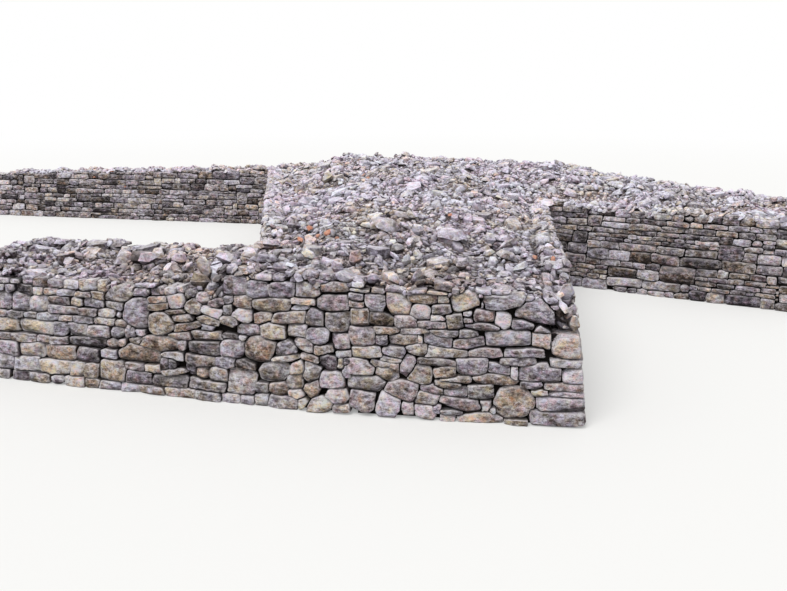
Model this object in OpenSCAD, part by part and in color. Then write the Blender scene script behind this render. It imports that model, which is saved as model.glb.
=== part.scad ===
// Broad dry stone wall with two arms and a wing, built without mortar.
// Battered face walls hold a hearting of packed stone, and loose rubble crowns it.
// The origin is at ground level on the line of the front face, at its straight joint.
// +X runs along the front face to the slumped corner, +Y back along the bank, +Z up.

/* [Front face] */
// Length of the front face from the straight joint to the right corner
front_l = 2850; // [2400:50:3400]
// Length of the front face left of the straight joint, up to the arm
front_left_l = 2900; // [2700:50:3400]
// Angle that the left part of the front turns back at the straight joint
front_turn = 6.5; // [2:0.5:12]

/* [Left arm] */
// Length of the arm past the front face
arm_l = 3300; // [2400:50:4500]
// Distance from the front line back to the foot of the arm's rear face
arm_depth = 3150; // [2600:50:3800]
// Distance of the arm's inner corner from the straight joint
arm_root_x = 2200; // [1900:50:2600]

/* [Bank] */
// Length of the right side face, from the corner to the wing
side_l = 7050; // [6000:50:8000]
// Length of the left flank along Y
flank_l = 10000; // [9000:100:11000]
// Distance that the left flank swings out on its way back
flank_out = 2900; // [2400:50:3400]
// Distance from the front line to the rear right corner
rear_right_y = 13900; // [13400:50:14400]
// Distance from the front line to the furthest point of the rear face
rear_y = 15900; // [15600:50:16300]

/* [Wing] */
// Length of the wing's front face
wing_l = 4650; // [4000:50:5400]
// Angle that the wing's front face swings forward
wing_swing = 21; // [14:1:26]
// Width of the wing at its end
wing_end_w = 3000; // [2600:50:3400]
// Distance of the rear right corner from the side face
wing_rear_x = 1650; // [1300:50:2100]

/* [Rear arm] */
// Length of the rear arm
rear_arm_l = 9100; // [7000:100:10000]
// Thickness of the rear arm at its foot
rear_arm_t = 1450; // [1350:50:1700]
// Angle of the rear arm to the front face
rear_arm_turn = 3.5; // [1:0.5:6]

/* [Heights] */
// Height of the face walls
wall_h = 1600; // [1450:10:1800]
// Height of the front face just left of the straight joint
raised_h = 1690; // [1600:10:1900]
// Length of that raised part
raised_l = 1700; // [1200:50:2200]
// Height of the left arm
arm_h = 1420; // [1300:10:1600]
// Height of the rear arm where it leaves the bank
rear_arm_h = 1560; // [1400:10:1700]
// Height of the rear arm at its far end
rear_arm_end_h = 1260; // [1150:10:1600]
// Height left standing at the slumped corner
corner_h = 1100; // [1000:10:1300]
// Reach of the slump along the front face
slump_front = 800; // [500:50:1200]
// Reach of the slump along the side face
slump_side = 1800; // [1200:50:2400]
// Rise of the rubble crown over the face walls
mound_h = 410; // [200:10:600]
// Distance over which the rubble rises from a face wall to its full height
mound_run = 1600; // [1000:50:2400]
// Unevenness of the rubble crown on the mound
lump_h = 55; // [0:5:90]
// Unevenness of the rubble crown beside the face walls
edge_lump_h = 25; // [0:5:50]
// Length of a lump of the rubble crown
lump_l = 1300; // [1000:50:1800]
// Distance between the largest blocks of the rubble
block_gap = 930; // [700:10:1300]
// Height by which the largest blocks stand out
block_rise = 80; // [0:5:140]

/* [Masonry] */
// Thickness of a face wall at its foot
skin_t = 520; // [420:10:600]
// Lean of a face wall: how far it goes back in each metre of height
batter = 115; // [60:5:160]
// Height of the packed hearting
hearting_h = 940; // [800:10:980]
// Height of the footing course
footing_h = 190; // [120:10:240]
// How far the footing course stands out
footing_out = 60; // [20:5:100]
// Length of the footing's return round the corner
footing_return = 900; // [700:50:1200]
// Height of a thick corner stone
quoin_thick_h = 185; // [150:5:220]
// Height of a thin corner stone
quoin_thin_h = 105; // [80:5:130]
// Length of a corner stone
quoin_l = 560; // [480:10:650]
// Width of a corner stone
quoin_w = 310; // [260:10:380]
// Length of a stone in the top course
top_stone_l = 420; // [300:10:600]
// Step between neighbouring stones in the top course
top_step = 45; // [0:5:70]

/* [Hidden] */

// Colours of the weathered face stone, the corner stones, the hearting and the rubble
face_colour = "#8f877e";
quoin_colour = "#a39b90";
hearting_colour = "#6f655c";
rubble_colour = "#a9a19f";

// Room by which cutting shapes pass the stone that they cut
over = 200;
// Length added at each end of a face wall before its mitre is cut
mitre = 2 * skin_t;
// Step of the rubble's lattice, and the share of a step by which its points lie off a square grid
lattice_step = block_gap / 2;
lattice_shift = 0.2;
// Lengths along X and Y of the two waves that break up the crown
lump_waves = [[lump_l, 2.5 * lump_l], [-1.95 * lump_l, 1.45 * lump_l]];
// Share of the mound's rise that it already has at the front line
mound_start = 0.15;
// Shares of the way along the rear at which its face turns
rear_turns = [0.2, 0.45];
// Share of the way back from its furthest line that the rear face's middle has come
rear_bulge = 0.2;

function polar(l, a) = [l * cos(a), l * sin(a)];
function unit(v) = v / norm(v);
function left_of(d) = [-d[1], d[0]];
function between(p, q, k) = p + (q - p) * k;

// Corners of the foot line, anticlockwise from the arm's front tip
joint = [0, 0];
corner = [front_l, 0];
arm_bend = polar(front_left_l, 180 - front_turn);
arm_tip = polar(front_left_l + arm_l, 180 - front_turn);
arm_back_tip = arm_tip + polar(arm_depth - arm_tip[1] + arm_bend[1], 90);
arm_root = [-arm_root_x, arm_depth];
wing_root = [front_l, side_l];
wing_tip = wing_root + polar(wing_l, -wing_swing);
wing_back_tip = wing_tip + polar(wing_end_w, 90 - wing_swing);
rear_right = [front_l + wing_rear_x, rear_right_y];
rear_arm_root = arm_root + [-flank_out, flank_l];
rear_arm_tip = rear_arm_root + polar(rear_arm_l, 180 - rear_arm_turn);
rear_arm_back_tip = rear_arm_tip + polar(rear_arm_t, 90 - rear_arm_turn);
rear_arm_back_root = rear_arm_root + polar(rear_arm_t, 90 - rear_arm_turn);
rear_left = [between(rear_arm_back_root, rear_right, rear_turns[0])[0], rear_y];
rear_middle = [
    between(rear_arm_back_root, rear_right, rear_turns[1])[0],
    between(rear_left, rear_right, rear_bulge)[1]
];

// Corners between the bays of a long face, named after the bay that starts there
side_middle = between(corner, wing_root, 1 / 3);
side_far = between(corner, wing_root, 2 / 3);
wing_far = between(wing_root, wing_tip, 0.5);
wing_back_near = between(wing_back_tip, rear_right, 0.5);
rear_arm_back_far = between(rear_arm_back_root, rear_arm_back_tip, 0.5);
rear_arm_near = between(rear_arm_tip, rear_arm_root, 0.5);
flank_middle = between(rear_arm_root, arm_root, 1 / 3);
flank_near = between(rear_arm_root, arm_root, 2 / 3);

FOOT = [
    arm_tip, arm_bend, joint,
    corner, side_middle, side_far,
    wing_root, wing_far, wing_tip, wing_back_tip, wing_back_near,
    rear_right, rear_middle, rear_left,
    rear_arm_back_root, rear_arm_back_far, rear_arm_back_tip, rear_arm_tip, rear_arm_near,
    rear_arm_root, flank_middle, flank_near,
    arm_root, arm_back_tip
];
count = len(FOOT);

function foot(i) = FOOT[(i + count) % count];
function run_l(i) = norm(foot(i + 1) - foot(i));
function run_way(i) = unit(foot(i + 1) - foot(i));

// Place of corner p in the foot line
function at(p) = [for (i = [0:count - 1]) if (norm(FOOT[i] - p) < 1) i][0];

// Where the line through p along d crosses the line through q along e
function meet(p, d, q, e) = p + d * (cross(q - p, e) / cross(d, e));

// Corner i of the foot line moved inwards by t
function inset(i, t) =
    let (d = run_way(i - 1), e = run_way(i))
    abs(cross(d, e)) < 0.001
        ? foot(i) + t * left_of(e)
        : meet(foot(i) + t * left_of(d), d, foot(i) + t * left_of(e), e);

// Corner p at the back of its face walls
function inner(p) = inset(at(p), skin_t);
arm_inner = meet(inner(arm_root), [0, 1], inner(arm_bend), run_way(at(arm_bend)));
wing_inner = between(inner(wing_root), inner(rear_right), 0.5);

// Distance of plan point p from the foot line
function run_gap(p, i) =
    let (k = min(run_l(i), max(0, (p - foot(i)) * run_way(i))))
    norm(p - foot(i) - k * run_way(i));
function edge_gap(p) = min([for (i = [0:count - 1]) run_gap(p, i)]);

// Share of the slump at plan point p, from 1 at the corner to 0 beyond its reach
function slump(p) = max(0, 1 - norm([(p[0] - corner[0]) / slump_front, (p[1] - corner[1]) / slump_side]));

// Height of the face walls near plan point p
function in_arm(p) = p[0] < 0 && p[1] < arm_depth + skin_t;
function in_rear_arm(p) = p[0] < rear_arm_root[0] && p[1] > arm_depth + skin_t;
function rear_arm_top(p) = rear_arm_h + (rear_arm_end_h - rear_arm_h) * (rear_arm_root[0] - p[0]) / rear_arm_l;
function full_h(p) =
    in_rear_arm(p) ? rear_arm_top(p)
    : in_arm(p) ? (p[0] > -raised_l ? raised_h : arm_h)
    : wall_h;
function face_h(p) = full_h(p) - (wall_h - corner_h) * slump(p);

// Height of the rubble at plan point p: a long mound that rises from the face walls, broken up by two waves
function soft(k) = k <= 0 ? 0 : k >= 1 ? 1 : k * k * (3 - 2 * k);
function rise(p) = soft((edge_gap(p) - skin_t) / mound_run);
function mound(p) =
    mound_h * rise(p)
    * soft(p[1] / rear_right_y + mound_start) * soft((rear_y - p[1]) / (rear_y - rear_right_y))
    * soft((p[0] - rear_arm_root[0]) / front_l) * soft((wing_tip[0] - p[0]) / wing_l);
function wave(p, lengths) = sin(360 * (p[0] / lengths[0] + p[1] / lengths[1]));
function lumps(p) =
    (edge_lump_h + (lump_h - edge_lump_h) * rise(p)) * (wave(p, lump_waves[0]) + wave(p, lump_waves[1]));
function low_h(p) =
    in_rear_arm(p) ? rear_arm_top(p)
    : arm_h + (wall_h - arm_h) * max(soft((p[0] + front_left_l) / raised_l), soft((p[1] - arm_depth) / skin_t));
function crown_h(p) = low_h(p) - (wall_h - corner_h) * slump(p) + mound(p) + lumps(p);

// Outline in elevation of the run from corner i: every stone of the top course has its own height
module elevation(i) {
    l = run_l(i);
    stones = ceil(l / top_stone_l);
    step = l / stones;
    polygon([
        [l + mitre, 0],
        [-mitre, 0],
        for (k = [0:stones - 1])
            let (z = face_h(foot(i) + run_way(i) * (k + 0.5) * step) + top_step * sin(137 * k + 71 * i))
            each [
                [k == 0 ? -mitre : k * step, z],
                [k == stones - 1 ? l + mitre : (k + 1) * step, z]
            ]
    ]);
}

// Section of a face wall: it leans back from its foot line
module section(h) {
    polygon([[0, 0], [skin_t + over, 0], [skin_t + over, h], [batter * h / 1000, h]]);
}

// Face wall from corner p of the foot line to the next, mitred to its neighbours
module face_wall(p) {
    i = at(p);
    l = run_l(i);
    way = run_way(i);
    h = max(wall_h, raised_h) + over;
    color(face_colour)
        intersection() {
            linear_extrude(h)
                polygon([p, foot(i + 1), inset(i + 1, skin_t), inset(i, skin_t)]);
            translate(p)
                rotate(atan2(way[1], way[0])) {
                    intersection() {
                        translate([0, skin_t + over, 0])
                            rotate([90, 0, 0])
                                linear_extrude(skin_t + 2 * over)
                                    elevation(i);
                        translate([-mitre, 0, 0])
                            rotate([90, 0, 90])
                                linear_extrude(l + 2 * mitre)
                                    section(h);
                    }
                }
        }
}

// Corner stones: thick ones lie along the front, thin ones along the side, turn about
pair_h = quoin_thick_h + quoin_thin_h;
pairs = floor((corner_h - footing_h) / pair_h);

module headers() {
    for (k = [0:pairs - 1])
        translate([corner[0] - quoin_l, corner[1], footing_h + k * pair_h])
            cube([quoin_l, quoin_w, quoin_thick_h]);
}

module stretchers() {
    for (k = [0:pairs - 1])
        translate([corner[0] - quoin_w, corner[1], footing_h + k * pair_h + quoin_thick_h])
            cube([quoin_w, quoin_l, quoin_thin_h]);
}

// The wedge of space between the corner and its two leaning faces, inside which corner stones are cut
module corner_lean() {
    intersection() {
        translate([corner[0] - quoin_l - over, corner[1], 0])
            rotate([90, 0, 90])
                linear_extrude(quoin_l + 2 * over)
                    section(wall_h);
        translate([corner[0], corner[1] - over, 0])
            rotate(90)
                rotate([90, 0, 90])
                    linear_extrude(quoin_l + 2 * over)
                        section(wall_h);
    }
}

// The footing course runs under the front face and a little way round the corner
module footing_plan() {
    left_way = run_way(at(arm_bend));
    left_out = -footing_out * left_of(left_way);
    right_way = run_way(at(joint));
    right_out = -footing_out * left_of(right_way);
    polygon([
        arm_bend,
        arm_bend + left_out,
        meet(joint + left_out, left_way, joint + right_out, right_way),
        corner + [footing_out, -footing_out],
        corner + [footing_out, footing_return],
        corner + [-skin_t, footing_return],
        inner(corner), inner(joint), inner(arm_bend)
    ]);
}

module front_footing() {
    color(quoin_colour)
        linear_extrude(footing_h)
            footing_plan();
}

module corner_headers() {
    color(quoin_colour)
        intersection() {
            headers();
            corner_lean();
        }
}

module corner_stretchers() {
    color(quoin_colour)
        intersection() {
            stretchers();
            corner_lean();
        }
}

// The two faces at the front corner are notched for its stones
module front_face_right() {
    color(face_colour)
        difference() {
            face_wall(joint);
            front_footing();
            headers();
            stretchers();
        }
}

module side_face_near() {
    color(face_colour)
        difference() {
            face_wall(corner);
            front_footing();
            headers();
            stretchers();
        }
}

module front_face_left() {
    color(face_colour)
        difference() {
            face_wall(arm_bend);
            front_footing();
        }
}

module arm_front_face() face_wall(arm_tip);
module arm_end_face() face_wall(arm_back_tip);
module arm_back_face() face_wall(arm_root);
module side_face_middle() face_wall(side_middle);
module side_face_far() face_wall(side_far);
module wing_face_near() face_wall(wing_root);
module wing_face_far() face_wall(wing_far);
module wing_end_face() face_wall(wing_tip);
module wing_back_far() face_wall(wing_back_tip);
module wing_back_near() face_wall(wing_back_near);
module rear_face_right() face_wall(rear_right);
module rear_face_middle() face_wall(rear_middle);
module rear_face_left() face_wall(rear_left);
module rear_arm_back_near() face_wall(rear_arm_back_root);
module rear_arm_back_far() face_wall(rear_arm_back_far);
module rear_arm_end_face() face_wall(rear_arm_back_tip);
module rear_arm_front_far() face_wall(rear_arm_tip);
module rear_arm_front_near() face_wall(rear_arm_near);
module flank_face_far() face_wall(rear_arm_root);
module flank_face_middle() face_wall(flank_middle);
module flank_face_near() face_wall(flank_near);

// Packed small stone between the face walls, over the plan points given
module hearting(points) {
    color(hearting_colour)
        linear_extrude(hearting_h)
            polygon(points);
}

// Point of the rubble's lattice: every second one each way is the top of a large block
function lattice_point(i, j) =
    let (
        shift = rands(-lattice_shift, lattice_shift, 3, 1000 * (i + 100) + j + 100),
        p = lattice_step * [i + shift[0], j + shift[1]]
    )
    [p[0], p[1], crown_h(p) + block_rise * (i % 2 == 0 && j % 2 == 0 ? 1 : shift[2])];

// Broken surface of the rubble over a stretch of the lattice, down to a flat base
module blocks(first, last) {
    columns = last[0] - first[0];
    rows = last[1] - first[1];
    top = [for (i = [first[0]:last[0]]) for (j = [first[1]:last[1]]) lattice_point(i, j)];
    base = [for (p = top) [p[0], p[1], hearting_h - over]];
    n = len(top);
    polyhedron([each top, each base], [
        for (i = [0:columns - 1])
            for (j = [0:rows - 1])
                let (a = i * (rows + 1) + j, b = a + rows + 1, c = b + 1, d = a + 1)
                each [
                    each (i + j) % 2 == 0 ? [[a, d, c], [a, c, b]] : [[a, d, b], [d, c, b]],
                    [n + a, n + b, n + c, n + d]
                ],
        for (i = [0:columns - 1])
            let (a = i * (rows + 1), b = a + rows + 1)
            each [[a, b, n + b, n + a], [b + rows, a + rows, n + a + rows, n + b + rows]],
        for (j = [0:rows - 1])
            let (a = j, b = columns * (rows + 1) + j)
            each [[a + 1, a, n + a, n + a + 1], [b, b + 1, n + b + 1, n + b]]
    ]);
}

// Loose rubble over the plan points given
module crown(points) {
    first = [for (k = [0:1]) floor(min([for (p = points) p[k]]) / lattice_step) - 1];
    last = [for (k = [0:1]) ceil(max([for (p = points) p[k]]) / lattice_step) + 1];
    color(rubble_colour)
        intersection() {
            translate([0, 0, hearting_h])
                linear_extrude(2 * wall_h)
                    polygon(points);
            blocks(first, last);
        }
}

near_plan = [arm_inner, inner(joint), inner(corner), inner(side_middle), inner(arm_root)];
middle_plan = [inner(arm_root), inner(side_middle), inner(side_far), inner(wing_root), inner(flank_near)];
far_plan = [inner(flank_near), inner(wing_root), wing_inner, inner(flank_middle)];
rear_plan = [
    inner(flank_middle), wing_inner, inner(rear_right), inner(rear_middle), inner(rear_left),
    inner(rear_arm_back_root), inner(rear_arm_root)
];
arm_plan = [inner(arm_tip), arm_inner, inner(arm_root), inner(arm_back_tip)];
wing_plan = [
    inner(wing_root), inner(wing_far), inner(wing_tip), inner(wing_back_tip), inner(wing_back_near),
    inner(rear_right), wing_inner
];
rear_arm_plan = [
    inner(rear_arm_root), inner(rear_arm_back_root), inner(rear_arm_back_tip), inner(rear_arm_tip)
];

module hearting_near() hearting(near_plan);
module hearting_middle() hearting(middle_plan);
module hearting_far() hearting(far_plan);
module hearting_rear() hearting(rear_plan);
module arm_hearting() hearting(arm_plan);
module wing_hearting() hearting(wing_plan);
module rear_arm_hearting() hearting(rear_arm_plan);

module crown_near() crown(near_plan);
module crown_middle() crown(middle_plan);
module crown_far() crown(far_plan);
module crown_rear() crown(rear_plan);
module arm_crown() crown(arm_plan);
module wing_crown() crown(wing_plan);
module rear_arm_crown() crown(rear_arm_plan);

front_footing();
front_face_right();
front_face_left();
corner_headers();
corner_stretchers();
arm_front_face();
arm_end_face();
arm_back_face();
side_face_near();
side_face_middle();
side_face_far();
wing_face_near();
wing_face_far();
wing_end_face();
wing_back_far();
wing_back_near();
rear_face_right();
rear_face_middle();
rear_face_left();
rear_arm_back_near();
rear_arm_back_far();
rear_arm_end_face();
rear_arm_front_far();
rear_arm_front_near();
flank_face_far();
flank_face_middle();
flank_face_near();
hearting_near();
hearting_middle();
hearting_far();
hearting_rear();
arm_hearting();
wing_hearting();
rear_arm_hearting();
crown_near();
crown_middle();
crown_far();
crown_rear();
arm_crown();
wing_crown();
rear_arm_crown();
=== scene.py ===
"""Dresses the dry stone wall: its faces are laid stone by stone, and loose rubble is heaped on top.

Every wall line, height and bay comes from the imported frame. The stones that the photo shows
plainly are laid first, by their place in it, and the rest of each face is filled up round them.
"""

import math

import bmesh
import bpy
import numpy as np
from mathutils import Matrix, Vector
from mathutils.bvhtree import BVHTree


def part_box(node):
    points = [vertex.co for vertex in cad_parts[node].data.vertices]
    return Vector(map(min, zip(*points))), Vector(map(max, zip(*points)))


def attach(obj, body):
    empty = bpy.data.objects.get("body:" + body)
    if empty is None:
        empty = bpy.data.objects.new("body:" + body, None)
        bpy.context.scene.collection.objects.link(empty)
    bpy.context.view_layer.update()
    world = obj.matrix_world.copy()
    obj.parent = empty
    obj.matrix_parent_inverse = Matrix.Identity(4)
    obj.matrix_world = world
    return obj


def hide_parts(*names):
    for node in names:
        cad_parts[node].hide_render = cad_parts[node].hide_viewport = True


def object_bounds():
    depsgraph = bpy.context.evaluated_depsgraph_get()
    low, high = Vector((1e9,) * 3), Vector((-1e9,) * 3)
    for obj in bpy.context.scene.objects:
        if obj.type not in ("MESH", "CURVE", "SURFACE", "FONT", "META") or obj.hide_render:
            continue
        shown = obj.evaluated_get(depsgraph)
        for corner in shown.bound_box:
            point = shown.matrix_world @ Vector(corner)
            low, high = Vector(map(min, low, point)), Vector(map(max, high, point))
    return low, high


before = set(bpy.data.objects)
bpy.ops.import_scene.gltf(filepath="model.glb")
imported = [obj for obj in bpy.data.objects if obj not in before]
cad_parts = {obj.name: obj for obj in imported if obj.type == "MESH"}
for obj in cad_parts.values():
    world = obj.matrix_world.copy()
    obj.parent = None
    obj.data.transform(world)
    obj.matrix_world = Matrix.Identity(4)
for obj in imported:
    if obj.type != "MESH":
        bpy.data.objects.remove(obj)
cad_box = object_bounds()

# The camera, worked out from the photo's horizon and from the foot and top of the front face
PHOTO_W, PHOTO_H = 787, 591
LENS_PX = 772
EYE = Vector((1.757, -8.535, 3.85))
TURN_LEFT = math.radians(8)
LOOK_DOWN = math.radians(15)
SENSOR_MM = 36

# The wall lines, anticlockwise seen from above, each with its bays in the same order
WALLS = {
    "front_right": ["front_face_right"],
    "side": ["side_face_near", "side_face_middle", "side_face_far"],
    "wing_front": ["wing_face_near", "wing_face_far"],
    "wing_end": ["wing_end_face"],
    "wing_back": ["wing_back_far", "wing_back_near"],
    "rear_right": ["rear_face_right"],
    "rear_middle": ["rear_face_middle"],
    "rear_left": ["rear_face_left"],
    "rear_arm_back": ["rear_arm_back_near", "rear_arm_back_far"],
    "rear_arm_end": ["rear_arm_end_face"],
    "rear_arm_front": ["rear_arm_front_far", "rear_arm_front_near"],
    "flank": ["flank_face_far", "flank_face_middle", "flank_face_near"],
    "arm_back": ["arm_back_face"],
    "arm_end": ["arm_end_face"],
    "front_left": ["arm_front_face", "front_face_left"],
}
CROWNS = [
    "crown_near", "crown_middle", "crown_far", "crown_rear", "arm_crown", "wing_crown",
    "rear_arm_crown",
]
FRONT_CORNER_NODES = ["front_footing", "corner_headers", "corner_stretchers"]

# How finely a wall's stones are modelled: sides of each, rings on its front, grid of the layout
FINE = {"sides": 34, "rings": (0.28, 0.54, 0.76, 0.89, 0.96, 1.0), "grid": 0.006}
MIDDLE = {"sides": 22, "rings": (0.5, 0.85, 1.0), "grid": 0.01}
PLAIN = {"sides": 16, "rings": (0.6, 0.88, 1.0), "grid": 0.012}
DETAIL = {"front_right": FINE, "front_left": FINE, "side": MIDDLE, "wing_front": MIDDLE}
FRONT_WALLS = ("front_right", "front_left")
# How much flatter than usual the stones of some walls are
FLATNESS = {"rear_arm_front": 1.35, "wing_front": 1.25, "side": 1.1, "front_right": 1.1}

# Sizes of the face stones in metres, and how many times longer than high they are
STONE_H = (0.085, 0.2)
STONE_RATIO = (1.2, 2.9)
STONE_DEPTH = 0.17
TOP_STONE_DEPTH = (0.2, 0.34)
JOINT = 0.017
# How far a stone's edge may move out: of the others, and of those that the photo shows
GROWTH_ROOM = 0.014
SEEN_GROWTH_ROOM = 0.009
# The slab behind the stones: how far in its front and back are, and the ledge along its top
BACKING_DEPTH = 0.115
BACKING_BACK = 0.34
LEDGE_FROM = 0.17
LEDGE_DROP = 0.06
LEDGE_BANDS = (1, 2, 3)
# How sharply two walls turn where corner stones are laid
TURN_FOR_CORNER_STONES = math.radians(25)

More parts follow.
